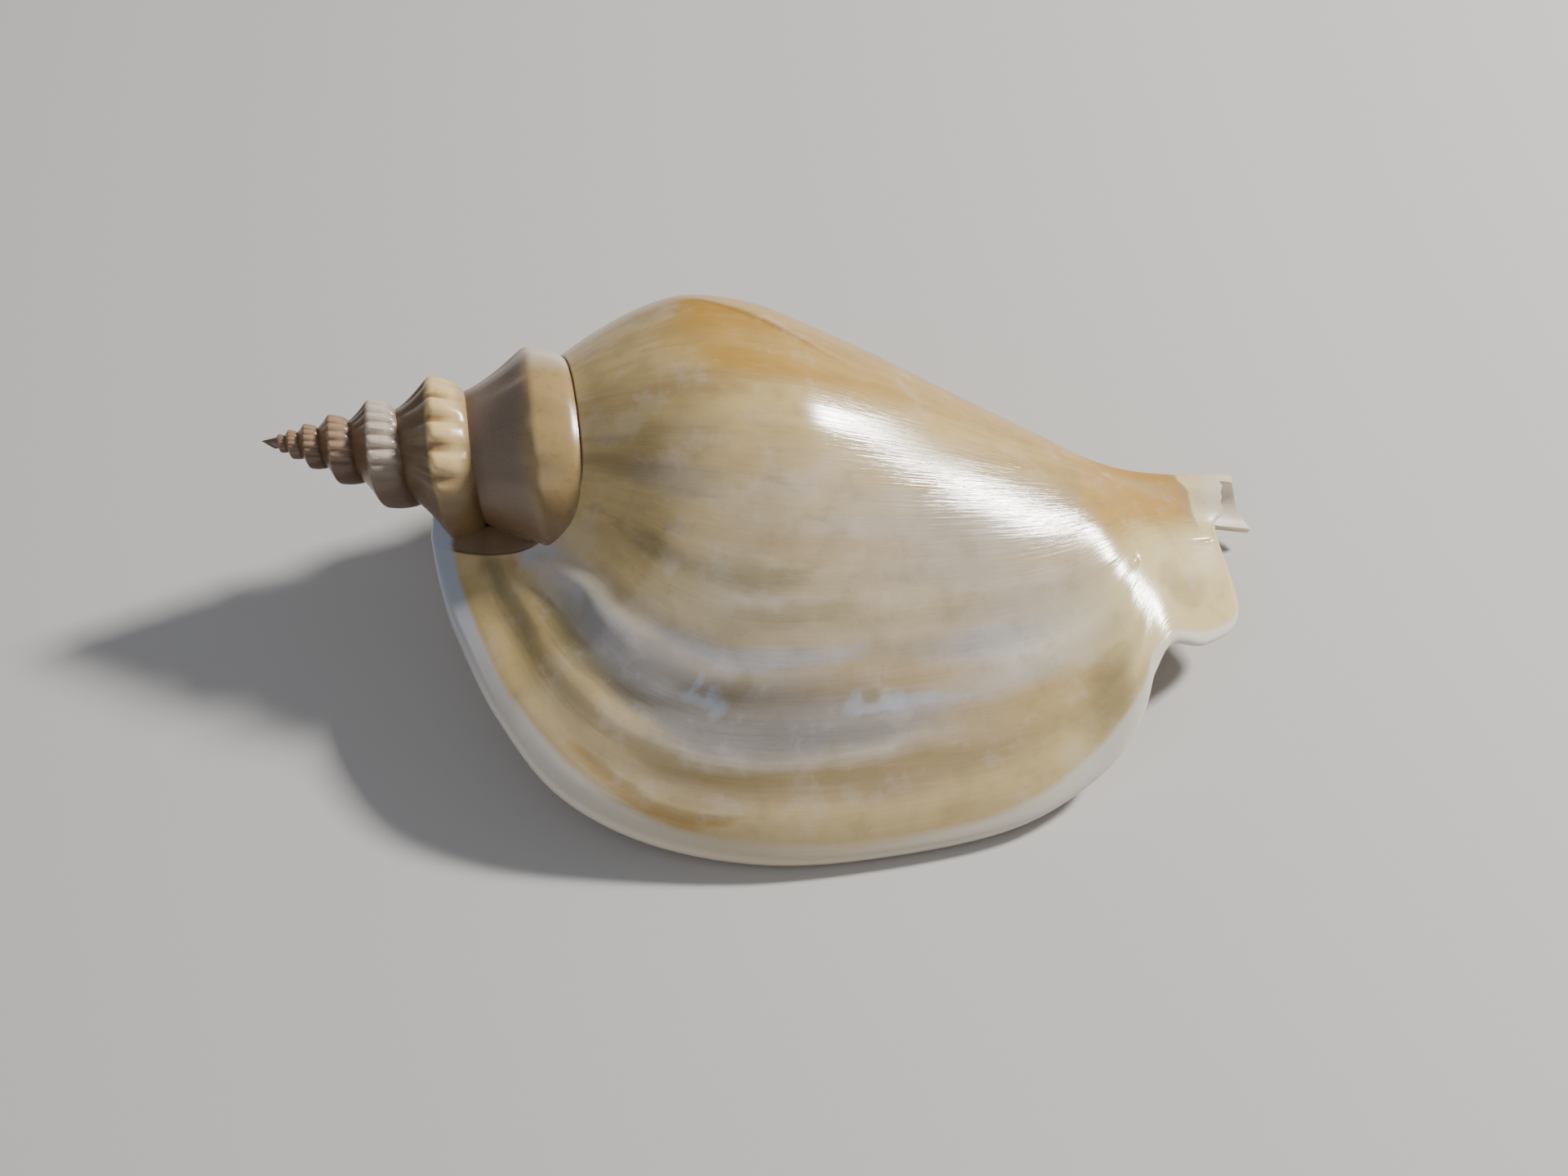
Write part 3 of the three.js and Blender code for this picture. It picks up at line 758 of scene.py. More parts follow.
class Wire:
    """A node's output, which adds Math nodes when it is added, multiplied and so on."""

    def __init__(self, nodes, socket):
        self.nodes = nodes
        self.socket = socket

    def __add__(self, other):
        return self.nodes.maths("ADD", self, other)

    __radd__ = __add__

    def __sub__(self, other):
        return self.nodes.maths("SUBTRACT", self, other)

    def __rsub__(self, other):
        return self.nodes.maths("SUBTRACT", other, self)

    def __mul__(self, other):
        return self.nodes.maths("MULTIPLY", self, other)

    __rmul__ = __mul__

    def __truediv__(self, other):
        return self.nodes.maths("DIVIDE", self, other)


class Nodes:
    """A material's nodes."""

    def __init__(self, name):
        self.material = bpy.data.materials.new(name)
        self.material.use_nodes = True
        self.tree = self.material.node_tree
        self.shader = self.tree.nodes["Principled BSDF"]

    def add(self, kind, settings=None, inputs=None, output=0):
        """A node of this kind, with its settings made first and then its sockets' values or links."""
        node = self.tree.nodes.new(kind)
        for key, value in (settings or {}).items():
            if key == "stops":
                self.set_stops(node.color_ramp, value)
            else:
                setattr(node, key, value)
        for key, value in (inputs or {}).items():
            if isinstance(value, Wire):
                self.tree.links.new(value.socket, node.inputs[key])
            else:
                node.inputs[key].default_value = value
        return Wire(self, node.outputs[output])

    @staticmethod
    def set_stops(ramp, stops):
        while len(ramp.elements) < len(stops):
            ramp.elements.new(1)
        for element, (at, shade) in zip(ramp.elements, stops):
            element.position = at
            element.color = (*shade, 1)

    def maths(self, operation, first, second=0.0):
        return self.add("ShaderNodeMath", {"operation": operation}, {0: first, 1: second})

    def ease(self, start, end, value):
        settings = {"interpolation_type": "SMOOTHSTEP"}
        return self.add("ShaderNodeMapRange", settings, {"Value": value, "From Min": start, "From Max": end})

    def fall(self, start, end, value):
        return 1 - self.ease(start, end, value)

    def bell(self, value, middle, half_width):
        away = (value - middle) / half_width
        return self.maths("POWER", math.e, 0 - away * away)

    def shown(self, value, *lies):
        """How much shows along one measure, from where it lies: a rise or fall, a bell or a window."""
        if len(lies) == 2:
            nothing, full = lies
            return self.ease(nothing, full, value) if nothing < full else self.fall(full, nothing, value)
        if len(lies) == 3:
            side, middle, _ = lies
            return self.bell(value, middle, middle - side)
        start, full, fades, gone = lies
        return self.ease(start, full, value) * self.fall(fades, gone, value)

    def zone(self, name, *measures):
        """How strongly a zone of colour shows."""
        *groups, strength = ZONES[name]
        for measure, lies in zip(measures, groups, strict=True):
            strength = self.shown(measure, *lies) * strength
        return strength

    def split(self, vector):
        node = self.add("ShaderNodeSeparateXYZ", {}, {"Vector": vector}).socket.node
        return Wire(self, node.outputs["X"]), Wire(self, node.outputs["Y"])

    def point(self, x, y=0.0, z=0.0):
        return self.add("ShaderNodeCombineXYZ", {}, {"X": x, "Y": y, "Z": z})

    def noise(self, place, scale=1.0, detail=3.0, roughness=0.5):
        inputs = {"Vector": place, "Scale": scale, "Detail": detail, "Roughness": roughness}
        return self.add("ShaderNodeTexNoise", {}, inputs)

    def mix(self, share, first, second):
        colours = [value if isinstance(value, Wire) else (*value, 1) for value in (first, second)]
        return self.add("ShaderNodeMix", {"data_type": "RGBA"}, {0: share, 6: colours[0], 7: colours[1]}, 2)

    def ramp(self, at, stops):
        """Colours along a value, from stops of where and which colour, given in that value's own units."""
        low, high = stops[0][0], stops[-1][0]
        shares = [((where - low) / (high - low), shade) for where, shade in stops]
        return self.add("ShaderNodeValToRGB", {"stops": shares}, {"Fac": (at - low) / (high - low)})

    def feed(self, socket, wire):
        self.tree.links.new(wire.socket, self.shader.inputs[socket])


# Noise drawn out along the growth lines: how much of it passes in a degree and in a stripe, where it
# starts, its detail and its roughness
DRAWN_OUT = {
    "streak": (0.3, 0.65, 3, 4, 0.55),
    "thread": (1.1, 1.6, 7, 3, 0.55),
    "line": (1.1, 0.9, 11, 3, 0.6),
    "wide": (0.085, 0.16, 0, 3, 0.55),
    "patch": (0.12, 0.6, 20, 4, 0.6),
}

# Noise in space: its scale per metre, its detail and its roughness
IN_SPACE = {
    "blotch": (110, 3, 0.5),
    "cloud": (420, 4, 0.6),
    "jag": (700, 2, 0.5),
    "fleck": (900, 3, 0.5),
}

# Stains on the last whorl: growth angle and stripe of the middle, how far it reaches each way in
# degrees and in stripes, its colour and how strong it is
STAINS = (
    (22, 1.2, 22, 1.6, "ochre", 0.4),
    (-6, 3.4, 18, 1.2, "orange", 0.35),
    (16, 2.7, 6, 1.1, "brown", 0.25),
    (34, 1.9, 6, 1.3, "brown", 0.22),
    (30, 0.7, 3, 0.7, "cream", 0.5),
    (43, 1.1, 5, 1.3, "brown", 0.34),
    (46, 2.5, 5, 1.2, "violet", 0.4),
    (55, 4.1, 3, 1.2, "tan", 0.4),
    (57, 5.6, 3, 1.0, "tan", 0.4),
    (63, 4.4, 3, 0.9, "olive", 0.4),
    (66, 3.1, 4, 0.9, "olive", 0.4),
    (69, 5.3, 2.5, 0.8, "olive", 0.4),
    (73, 1.9, 4, 1.0, "cream", 0.5),
    (77.5, 5.0, 2.2, 1.6, "blue", 0.4),
    (84, 2.2, 5, 1.0, "lilac", 0.4),
    (83, 2.4, 4, 1.0, "blue", 0.35),
    (85, 0.7, 6, 0.5, "blue", 0.5),
    (85, 3.3, 5, 1.2, "violet", 0.7),
    (86, 4.9, 7, 1.9, "violet", 0.75),
    (93, 5.5, 2.5, 1.5, "violet", 0.7),
    (91, 3.0, 2.6, 1.2, "olive", 0.75),
    (91, 3.5, 1.2, 0.5, "brown", 0.4),
    (96, 0.7, 5, 0.5, "brown", 0.35),
    (97.5, 1.8, 2.6, 1.0, "olive", 0.5),
    (94.6, 3.9, 1.4, 0.9, "cream", 0.5),
    (98, 4.0, 1.8, 1.3, "ochre", 0.7),
    (79, 6.8, 3, 0.7, "tan", 0.45),
    (79, 7.8, 3.5, 0.9, "blue", 0.3),
    (90, 6.6, 4, 1.0, "violet", 0.5),
    (93.5, 8.6, 5, 1.1, "tan", 0.6),
    (97, 7.9, 2.4, 1.1, "ochre", 0.3),
    (98.5, 9.5, 7, 0.6, "ochre", 0.75),
    (97, 13.0, 6, 0.7, "ochre", 0.5),
    (90, 12.3, 5, 0.5, "ochre", 0.3),
    (104, 4.8, 1.1, 0.7, "orange", 0.6),
    (103.6, 4.9, 0.8, 0.6, "ochre", 0.5),
)
STAIN_EDGE = (0, 1.7)
STAINS_WANDER = (0.8, 2)

# Where the lip was chipped and grew on: small bluish white marks and the olive notches beside them
SCARS = (
    (84.0, 4.60, 2.4, 0.06, "blue", 0.5),
    (86.6, 4.72, 1.1, 0.22, "blue", 0.45),
    (84.9, 4.86, 1.8, 0.09, "blue", 0.45),
    (87.6, 5.00, 2.2, 0.10, "blue", 0.45),
    (87.0, 4.38, 1.2, 0.24, "blue", 0.2),
    (83.0, 5.10, 3.4, 0.11, "olive", 0.4),
    (86.4, 6.36, 2.4, 0.12, "blue", 0.45),
    (88.2, 6.52, 0.8, 0.15, "blue", 0.4),
    (85.6, 6.52, 1.7, 0.08, "olive", 0.5),
    (87.2, 6.72, 2.0, 0.12, "blue", 0.5),
    (87.8, 6.95, 1.6, 0.28, "blue", 0.45),
    (88.3, 7.35, 1.0, 0.32, "blue", 0.2),
)
SCAR_EDGE = (0.1, 1.7)
SCARS_WANDER = (3, 0.25)

# Bands along the flared lip, by growth angle: on the spire's side, in the middle and beside the canal
LIP_BANDS = (
    ((60, "tan"), (70, "cream"), (80, "lilac"), (88, "lilac"), (92, "tan"), (95, "cream"), (98, "ochre"),
     (101, "cream"), (104, "cream"), (106, "tan")),
    ((60, "lilac"), (70, "cream"), (78, "lilac"), (84, "tan"), (90, "lilac"), (95.5, "lilac"),
     (98, "ochre"), (101, "tan"), (103, "cream"), (107, "cream")),
    ((60, "lilac"), (76, "lilac"), (82, "white"), (88, "lilac"), (93, "cream"), (98, "tan"),
     (101, "cream"), (106, "cream")),
)
LIP_BANDS_MEET = ((3.6, 5.2), (6.8, 8.6))

# The spire's colours by whorls grown: its wall with the ribs, the ramp over it, a brown for the dark
# suture that also paints shade at the wall's foot, on the side towards the lip and in a spot on the
# last whorl, and the gaps between the ribs
SPIRE_WALL = (
    (-7, (132, 106, 82)), (-5.9, (160, 130, 100)), (-4.6, (170, 140, 110)), (-3.75, (172, 144, 116)),
    (-3.35, (208, 194, 178)), (-2.6, (210, 196, 178)), (-2.3, (240, 212, 154)), (-1.6, (236, 204, 144)),
    (-1.15, (174, 146, 96)), (-0.5, (174, 146, 96)),
)
SPIRE_RAMP = (
    (-7, (124, 100, 80)), (-5.8, (142, 114, 88)), (-3.9, (120, 92, 66)), (-2.9, (114, 88, 64)),
    (-2.2, (112, 88, 60)), (-1.5, (120, 96, 70)), (-1.2, (132, 114, 98)), (-0.5, (132, 114, 98)),
)
SPIRE_BROWN_AND_SHADE = (
    (-7, (124, 100, 78)), (-5.7, (124, 98, 74)), (-5, (100, 72, 52)), (-4, (96, 66, 50)),
    (-2.5, (106, 78, 48)), (-1.5, (106, 76, 42)), (-0.8, (116, 84, 48)),
)
SPIRE_GAPS = (
    (-6, (140, 108, 80)), (-5, (120, 86, 62)), (-3.7, (138, 106, 82)), (-3.3, (186, 168, 152)),
    (-2.7, (186, 164, 140)), (-2.3, (146, 106, 48)), (-1.4, (146, 106, 48)),
)


# Zones of colour and finish. Each has one group of numbers for every measure that it is laid out by,
# and then how strongly it shows. Of two numbers, it is nothing at the first and full at the second.
# Of three, it is a bell with its middle at the second. Of four, it is a window.
ZONES = {
    # By noise alone
    "tan_patches": ((0.44, 0.62), 0.8),
    "tan_streaks": ((0.48, 0.68), 0.5),
    "cream_patches": ((0.46, 0.6), 0.4),
    "white_threads": ((0.5, 0.75), 0.06),
    "olive_clouds": ((0.5, 0.68), 0.22),
    "white_clouds": ((0.48, 0.34), 0.16),
    "flecks": ((0.62, 0.8), 0.12),

    # On the last whorl, by growth angle or stripe or both, and by noise where there is a third group
    "middle": ((22, 54), (2.6, 5, 9, 10.5), 0.85),
    "olive_patches": ((20, 45, 72, 84), (8.5, 6.5), (0.54, 0.68), 0.4),
    "out_of_opening": ((-150, -60), 1),
    "back": ((22, -16), (2.2, 3.3, 6.5, 11), 1),
    "band": ((3, 8, 13), (2.6, 3.6, 5.2, 7.4), 0.6),
    "knob": ((-45, -32, -19), (2.5, 3.4, 4.3), 0.75),
    # Partly the shell's brown, partly painted shade in the hollow beside the knob
    "brown_and_shade_beside_knob": ((-40, -28, -16), (1.5, 2.1, 2.7), 0.35),
    "ridge": ((-1.7, 0, 1.7), (2.9, 3.4, 4.8, 6.4), 0.42),
    "lip": ((60, 80), (10.6, 9.6), 1),
    "foot": ((80, 56), (7.5, 12.4), 0.92),
    "lobe": ((58, 82), (8.8, 11.4), 0.85),
    "under_lip": ((-120, -190), 0.8),
    "inner_face": ((LIP_GROWTH + RIM_SPAN - 4, LIP_GROWTH + RIM_SPAN + 6), 1),
    "worn": ((70, 50), (10, 12), 1),
    "deep_lines": ((5.5, 8.5, 11.5), 0.75),

    # At the canal's border, by growth angle and how far past it, by stripe, and what moves it
    "border": ((74, 54), (-0.2, -0.08, 0.04), 0.5),
    "collar": ((78, 64), (-0.02, 0.1), 0.9),
    "collar_end": ((13.9, 14.8), 0.6),
    "border_later": ((-15, 20), 0.3),
    "border_sooner": ((34, 66), 0.2),

    # At the suture, by growth angle or how far past it
    "behind_spire": ((76, 90), 1),
    "suture": ((0.015, -0.02), 0.85),
    "suture_stain": ((-0.035, 0, 0.035), 0.85),

    # At the rim, by how far past its start and by stripe, and what moves its start, in degrees
    "rim": ((-0.5, 0.9), (14.3, 13.8), 0.92),
    "rim_cream": ((4.5, 6, 7.5), 0.5),
    "rim_blue": ((3.6, 0.6), 1),
    "rim_later": ((4.9, 6.9, 8.9), 2.2),
    "rim_sooner": ((8.6, 9.8, 11), 1.2),
    "rim_last": ((10.8, 12.2), 2.4),

    # On the spire, by the share over its ramp and wall, its side, whorls grown, noise or a rib's crest
    "gaps": ((0.6, 0.2), (-1.2, -1.5), 0.8),
    "beside_rib": ((0.42, 0.5, 0.58, 0.86), 0.7),
    "softer": ((-1.7, -1.2), 0.08),
    # Painted shade at the foot of the spire's wall, by the suture
    "painted_shade_wall_foot": ((0.78, 0.98), (-1.1, -1.4), 0.55),
    "ramp_start": ((0.12, 0.02), 0.5),
    "spire_streaks": ((0.5, 0.75), 0.25),
    # Painted shade on the spire's side towards the lip
    "painted_shade_lip_side": ((0.12, 0.21), (0.78, 0.6), 0.85),
    "last_of_spire": ((-1.5, -1.15), 1),
    # A spot of painted shade on the last whorl of the spire
    "painted_shade_spot": ((0.47, 0.56, 0.65), (0.18, 0.27, 0.36), 0.55),
    "spire_stain": ((0.86, 1), (0.28, 0.33, 0.38), 0.9),
    # Painted highlight along the top of the spire's last whorl
    "painted_highlight_top": ((0.74, 0.86, 0.93, 0.99), 0.6),
    "last_edge": ((0.98, 1, 1.02), 0.7),
    "inside_whorl": ((-0.63, -0.6), 1),
    "column": ((1, 1.05), 1),
}

# The stripe of the canal's border and the growth angle of the rim's start, before they move
BORDER_STRIPE = 13.65
RIM_STARTS = 105

# The suture's line: how far past the first stripe, and what is added behind the spire
SUTURE_STRIPE = 0.03
SUTURE_BEHIND = 0.13

# The colours' ridge on the back is straighter than its relief: stripe, growth and degrees per stripe
RIDGE_COLOUR = (3.2, -27, 9.4)

# Where the spire's wall takes over from the ramp
WALL_OVER_RAMP = (0.41, 0.51)

# Fine growth lines as bump: how much of them there is at least, and the share that the spire lacks.
# It also lacks a share of the flecks.
LINES = {"height": 0.05 * MM, "strength": 0.5, "least": 0.4, "less_on_spire": 0.85}
FEWER_ON_SPIRE = 2 / 3

# What shows unevenly: the least of it, and how much more its noise adds
UNEVEN = {"back": (0.35, 0.65), "lip": (0.6, 0.35), "stains": (0.6, 0.8)}

# The shell's roughness, and what each of these adds to it
ROUGHNESS = {"plain": 0.14, "thread": 0.08, "spire": 0.1, "worn": 0.4}

# By how many degrees each noise moves an edge
RAGGED = {"streak": 3, "blotch": 6, "thread": 2}


class Surface:
    """Where a point lies on the shell, and the noise there."""

    def __init__(self, nodes):
        self.whorls, self.across = nodes.split(nodes.add("ShaderNodeUVMap", {"uv_map": "grown"}))
        self.crest = nodes.split(nodes.add("ShaderNodeUVMap", {"uv_map": "ribs"}))[0]
        self.around = self.whorls * 360
        self.stripe = self.across * LAST_STRIPE
        self.on_spire = nodes.maths("GREATER_THAN", self.across, (1 + SPIRE_MAP_FROM) / 2)
        for name, (per_degree, per_stripe, start, detail, roughness) in DRAWN_OUT.items():
            drawn = nodes.point(self.around * per_degree, self.stripe * per_stripe, start)
            setattr(self, name, nodes.noise(drawn, 1, detail, roughness))
        in_space = nodes.add("ShaderNodeTexCoord", {}, {}, "Object")
        for name, (scale, detail, roughness) in IN_SPACE.items():
            setattr(self, name, nodes.noise(in_space, scale, detail, roughness))
        self.ragged = sum((getattr(self, name) - 0.5) * degrees for name, degrees in RAGGED.items())


def uneven(kind, noise):
    least, more = UNEVEN[kind]
    return least + more * noise


def shell_material(colours):
    """Glossy shell: cream with streaks along its growth lines, an orange back and a white rim."""
    nodes = Nodes("polished_shell")
    at = Surface(nodes)
    shade = body_colours(nodes, colours, at)
    shade = lip_colours(nodes, colours, at, shade)
    shade = canal_colours(nodes, colours, at, shade)
    stain_at = (at.around + at.ragged * STAINS_WANDER[0], at.stripe + (at.blotch - 0.5) * STAINS_WANDER[1])
    shade = stained(nodes, colours, stain_at, shade, at.streak, STAINS, STAIN_EDGE)
    scar_at = (at.around + (at.jag - 0.5) * SCARS_WANDER[0], at.stripe + (at.jag - 0.5) * SCARS_WANDER[1])
    shade = stained(nodes, colours, scar_at, shade, at.fleck, SCARS, SCAR_EDGE)
    shade = nodes.mix(nodes.zone("white_threads", at.thread), shade, colours.white)
    shade = nodes.mix(nodes.zone("olive_clouds", at.cloud), shade, colours.olive)
    shade = nodes.mix(nodes.zone("white_clouds", at.cloud), shade, colours.white)
    shade = nodes.mix(nodes.zone("under_lip", at.around), shade, colours.inside)
    shade = edge_colours(nodes, colours, at, shade)
    shade = nodes.mix(at.on_spire, shade, spire_colours(nodes, colours, at))
    flecked = nodes.zone("flecks", at.fleck) * (1 - FEWER_ON_SPIRE * at.on_spire)
    nodes.feed("Base Color", nodes.mix(flecked, shade, colours.brown))

    worn = nodes.zone("worn", at.around, at.stripe) * (1 - at.on_spire)
    roughness = ROUGHNESS["plain"] + ROUGHNESS["thread"] * at.thread
    nodes.feed("Roughness", roughness + ROUGHNESS["spire"] * at.on_spire + ROUGHNESS["worn"] * worn)
    depth = LINES["least"] + nodes.zone("deep_lines", at.stripe)
    height = at.line * depth * (1 - LINES["less_on_spire"] * at.on_spire)
    bump = {"Strength": LINES["strength"], "Distance": LINES["height"], "Height": height}
    nodes.feed("Normal", nodes.add("ShaderNodeBump", {}, bump))
    for socket, value in SHELL_FINISH.items():
        nodes.shader.inputs[socket].default_value = value
    return nodes.material


def body_colours(nodes, colours, at):
    """The last whorl's back: streaks of cream, tan and lilac along the growth lines, and an orange knob."""
    wandering = at.around + at.ragged
    shade = nodes.mix(nodes.zone("tan_patches", at.wide), colours.cream, colours.tan)
    shade = nodes.mix(nodes.zone("tan_streaks", at.streak), shade, colours.tan)
    pale = nodes.mix(nodes.zone("cream_patches", at.wide), colours.lilac, colours.cream)
    shade = nodes.mix(nodes.zone("middle", wandering, at.stripe), shade, pale)
    patches = nodes.zone("olive_patches", at.around, at.stripe, at.patch)
    shade = nodes.mix(patches, shade, colours.olive)
    back = nodes.zone("back", at.around + at.ragged * 2, at.stripe) * uneven("back", at.streak)
    shade = nodes.mix(nodes.zone("out_of_opening", at.around) * back, shade, colours.orange)
    shade = nodes.mix(nodes.zone("band", wandering, at.stripe), shade, colours.orange)
    shade = nodes.mix(nodes.zone("knob", at.around, at.stripe), shade, colours.orange)
    # Brown beside the knob, partly the shell's colour and partly painted shade in the hollow there
    shade = nodes.mix(nodes.zone("brown_and_shade_beside_knob", wandering, at.stripe), shade, colours.brown)
    stripe, growth, per_stripe = RIDGE_COLOUR
    past_ridge = at.around + at.ragged * 0.4 - ((at.stripe - stripe) * per_stripe + growth)
    return nodes.mix(nodes.zone("ridge", past_ridge, at.stripe), shade, colours.brown)


def lip_colours(nodes, colours, at, shade):
    """Soft bands along the flared lip, which change from the spire's side to the canal's side."""
    wandering = at.around + at.ragged
    lip, *others = (
        nodes.ramp(wandering, [(growth, getattr(colours, tint)) for growth, tint in stops])
        for stops in LIP_BANDS
    )
    for meet, band in zip(LIP_BANDS_MEET, others):
        lip = nodes.mix(nodes.ease(*meet, at.stripe + at.ragged * 0.15), lip, band)
    on_lip = nodes.zone("lip", wandering, at.stripe) * uneven("lip", at.streak)
    return nodes.mix(on_lip, shade, lip)


def canal_colours(nodes, colours, at, shade):
    """Orange round the canal's foot, a cream lobe towards the lip with painted glow, and a pale broken
    collar.
    """
    wandering = at.around + at.ragged * 3
    shade = nodes.mix(nodes.zone("foot", wandering, at.stripe), shade, colours.orange)
    lobe = nodes.zone("lobe", wandering, at.stripe + at.around * 0.012)
    # The lobe's cream is lightened as a painted glow of light through its thin wall
    shade = nodes.mix(lobe, shade, colours.cream_and_glow)
    border_at = BORDER_STRIPE + nodes.zone("border_later", at.around)
    border_at = border_at - nodes.zone("border_sooner", at.around)
    past_border = at.stripe + (at.blotch - 0.5) * 0.35 - border_at
    shade = nodes.mix(nodes.zone("border", at.around, past_border), shade, colours.ochre)
    paler = nodes.mix(nodes.zone("collar_end", at.stripe), colours.cream_and_glow, colours.white)
    return nodes.mix(nodes.zone("collar", at.around, past_border), shade, paler)


def stained(nodes, colours, wandering, shade, noise, stains, edge):
    """The stains, each an oval in growth angle and stripe. Both wander, which makes its edge ragged."""
    around, stripe = wandering
    for growth, middle, reach, reach_down, tint, strength in stains:
        away, down = (around - growth) / reach, (stripe - middle) / reach_down
        amount = nodes.fall(*edge, away * away + down * down)
        shade = nodes.mix(amount * strength * uneven("stains", noise), shade, getattr(colours, tint))
    return shade


def edge_colours(nodes, colours, at, shade):
    """The dark suture with painted shade behind the spire, the white rim, and the inner face past the rim.
    """
    behind = nodes.zone("behind_spire", at.around)
    past_suture = at.stripe - SUTURE_STRIPE - SUTURE_BEHIND * behind
    # Behind the spire the suture's line turns darker: partly a dark joint, partly painted shade under the
    # spire
    line = nodes.mix(behind, colours.brown, colours.suture)
    shade = nodes.mix(nodes.zone("suture", past_suture), shade, line)
    stain = nodes.zone("suture_stain", past_suture + (at.blotch - 0.5) * 0.06) * behind
    shade = nodes.mix(stain, shade, colours.stain)
    later = nodes.zone("rim_later", at.stripe) + nodes.zone("rim_last", at.stripe)
    rim_from = RIM_STARTS + later - nodes.zone("rim_sooner", at.stripe)
    tint = nodes.mix(nodes.zone("rim_cream", at.stripe), colours.white, colours.cream)
    tint = nodes.mix(nodes.zone("rim_blue", at.stripe), tint, colours.blue)
    past_rim = at.around + at.ragged * 0.25 - rim_from
    shade = nodes.mix(nodes.zone("rim", past_rim, at.stripe), shade, tint)
    inner = nodes.mix(at.blotch, colours.inside, colours.white)
    return nodes.mix(nodes.zone("inner_face", at.around), shade, inner)


def spire_colours(nodes, colours, at):
    """The spire's colours: brown at the tip, then a white whorl, cream knobs and a golden wall."""
    wall, ramp, low, gaps = (
        nodes.ramp(at.whorls, [(whorls, srgb(*shade)) for whorls, shade in stops])
        for stops in (SPIRE_WALL, SPIRE_RAMP, SPIRE_BROWN_AND_SHADE, SPIRE_GAPS)
    )
    share = at.across - SPIRE_MAP_FROM
    wander = (at.blotch - 0.5) * 0.3
    side = nodes.maths("FRACT", at.whorls + 10) + wander * 0.12
    last = nodes.zone("last_of_spire", at.whorls)

    # The wall with its darker gaps over the ramp, painted shade at its foot, and a dark suture
    gap = nodes.zone("gaps", at.crest, at.whorls) * (0.3 + nodes.zone("beside_rib", share))
    wall = nodes.mix(gap, wall, gaps)
    soft = nodes.zone("softer", at.whorls)
    ramp_end, wall_start = WALL_OVER_RAMP
    on_wall = nodes.ease(ramp_end - soft, wall_start + soft, share + wander * (0.2 + 4 * soft))
    shade = nodes.mix(on_wall, ramp, wall)
    shade = nodes.mix(nodes.zone("painted_shade_wall_foot", share, at.whorls), shade, low)
    shade = nodes.mix(nodes.zone("ramp_start", share), shade, low)
    shade = nodes.mix(nodes.zone("spire_streaks", at.streak), shade, low)

    # Painted shade, in the spire's brown, on the side towards the lip, which starts later on later whorls
    painted_shade_lip_side = nodes.zone("painted_shade_lip_side", side - 0.008 * (at.whorls + 4), side)
    shade = nodes.mix(painted_shade_lip_side, shade, low)

    # On the last whorl of the spire, a spot of painted shade, a stain, a painted highlight along its top and
    # a dark edge
    shade = nodes.mix(nodes.zone("painted_shade_spot", share, side) * last, shade, low)
    shade = nodes.mix(nodes.zone("spire_stain", share, side) * last, shade, colours.stain)
    shade = nodes.mix(nodes.zone("painted_highlight_top", side) * last * on_wall, shade, colours.white)
    shade = nodes.mix(nodes.zone("last_edge", share) * last, shade, colours.brown)

    # The stretch inside the last whorl, and the column
    shade = nodes.mix(nodes.zone("inside_whorl", at.whorls), shade, colours.inside)
    return nodes.mix(nodes.zone("column", share), shade, colours.inside)


def floor_material(look):
    nodes = Nodes("studio_floor")
    in_space = nodes.add("ShaderNodeTexCoord", {}, {}, "Object")
    nodes.feed("Base Color", nodes.mix(nodes.noise(in_space, 30, 4) * 0.06, look.floor, MID_GREY))
    nodes.shader.inputs["Roughness"].default_value = FLOOR_ROUGHNESS
    return nodes.material


class SHELL_OT_shell(bpy.types.Operator):
    """Grow the shell: the last whorl with its lip and canal, fused with the spire."""
    bl_idname = "conch.shell"
    bl_label = "Shell"

    def execute(self, context):
        shell = join_whorls(grow_last_whorl(context.scene.shell_shape), grow_spire())
        shell.data.materials.clear()
        shell.data.materials.append(shell_material(context.scene.shell_colours))
        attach(shell, "root")
        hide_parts(SHELL_NODE)
        return {"FINISHED"}


def add_light(name, lamp, power):
    """A square soft light that shines at the shell."""
    light = bpy.data.lights.new(name, "AREA")
    light.size = lamp["size"]
    light.energy = power
    light.color = lamp["tint"]
    hung = bpy.data.objects.new(name, light)
    hung.location = lamp["at"]
    hung.rotation_euler = (-Vector(lamp["at"])).to_track_quat("-Z", "Y").to_euler()
    bpy.context.scene.collection.objects.link(hung)


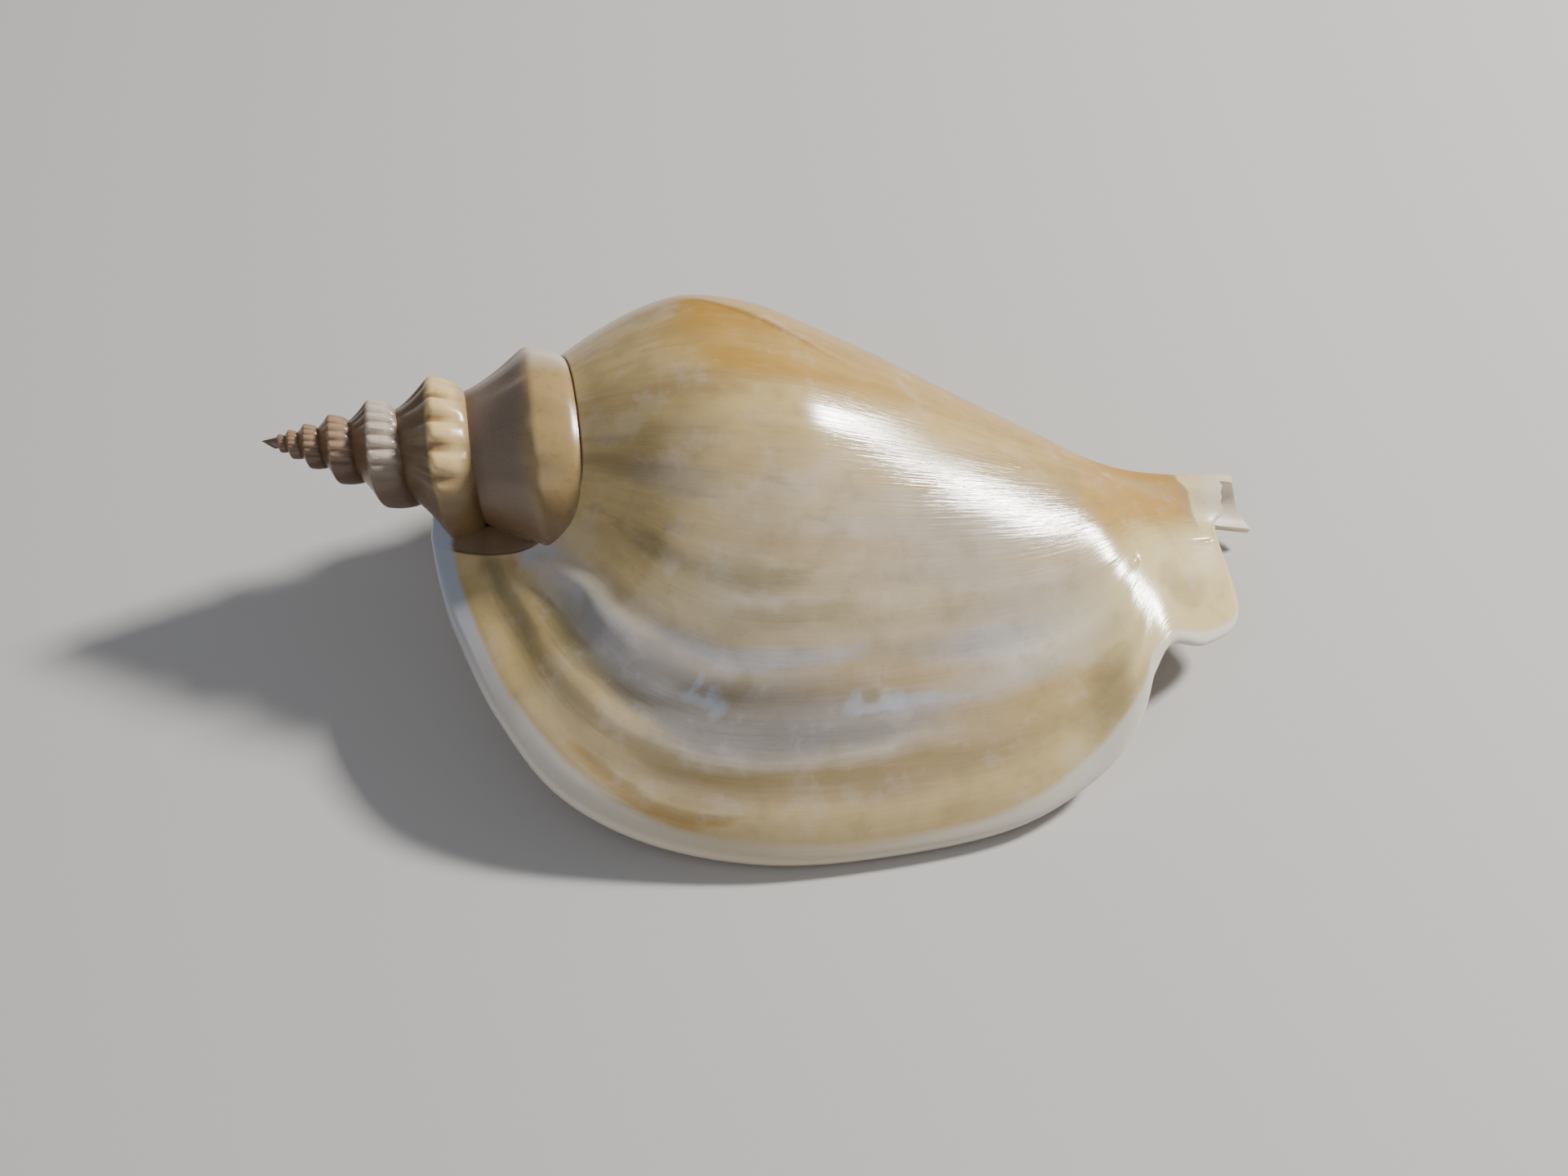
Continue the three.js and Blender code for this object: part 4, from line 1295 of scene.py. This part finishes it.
def place_camera():
    camera = bpy.data.cameras.new("camera")
    camera.lens = LENS
    camera.sensor_width = SENSOR
    camera.clip_start = CAMERA_SEES_FROM
    viewer = bpy.data.objects.new("camera", camera)
    right = CAMERA_RIGHT.normalized()
    back = -CAMERA_LOOKS.normalized()
    turn = Matrix((right, back.cross(right), back)).transposed()
    viewer.matrix_world = Matrix.Translation(CAMERA_AT) @ turn.to_4x4()
    bpy.context.scene.collection.objects.link(viewer)
    bpy.context.scene.camera = viewer


class SHELL_OT_studio(bpy.types.Operator):
    """Lay the floor, hang the soft lights and place the camera."""
    bl_idname = "conch.studio"
    bl_label = "Studio"

    def execute(self, context):
        look = context.scene.studio_look
        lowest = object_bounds()[0][2]
        bpy.ops.object.select_all(action="DESELECT")
        bpy.ops.mesh.primitive_plane_add(size=FLOOR_SIZE, location=(0, 0, lowest))
        floor = context.object
        floor.name = "studio_floor"
        floor.data.materials.append(floor_material(look))
        floor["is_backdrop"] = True
        add_light("key_light", KEY_LIGHT, look.key)
        add_light("fill_light", FILL_LIGHT, look.fill)
        world = bpy.data.worlds.new("studio_air")
        world.use_nodes = True
        for socket, value in AIR.items():
            world.node_tree.nodes["Background"].inputs[socket].default_value = value
        context.scene.world = world
        place_camera()
        return {"FINISHED"}


class SHELL_PT_panel(bpy.types.Panel):
    """Lists the shell's steps."""
    bl_idname = "SHELL_PT_panel"
    bl_label = "Swan Conch Shell"
    bl_space_type = "VIEW_3D"
    bl_region_type = "UI"
    bl_category = "Shell"

    def draw(self, context):
        for settings in (context.scene.shell_shape, context.scene.shell_colours, context.scene.studio_look):
            column = self.layout.column()
            for name in settings.__annotations__:
                column.prop(settings, name)
        self.layout.operator("conch.shell")
        self.layout.operator("conch.studio")


CLASSES = (ShellShape, ShellColours, StudioLook, SHELL_OT_shell, SHELL_OT_studio, SHELL_PT_panel)


def register():
    for each in CLASSES:
        bpy.utils.register_class(each)
    bpy.types.Scene.shell_shape = PointerProperty(type=ShellShape)
    bpy.types.Scene.shell_colours = PointerProperty(type=ShellColours)
    bpy.types.Scene.studio_look = PointerProperty(type=StudioLook)


def unregister():
    del bpy.types.Scene.studio_look
    del bpy.types.Scene.shell_colours
    del bpy.types.Scene.shell_shape
    for each in reversed(CLASSES):
        bpy.utils.unregister_class(each)


def main():
    register()
    bpy.ops.conch.shell()
    bpy.ops.conch.studio()


if __name__ == "__main__":
    main()
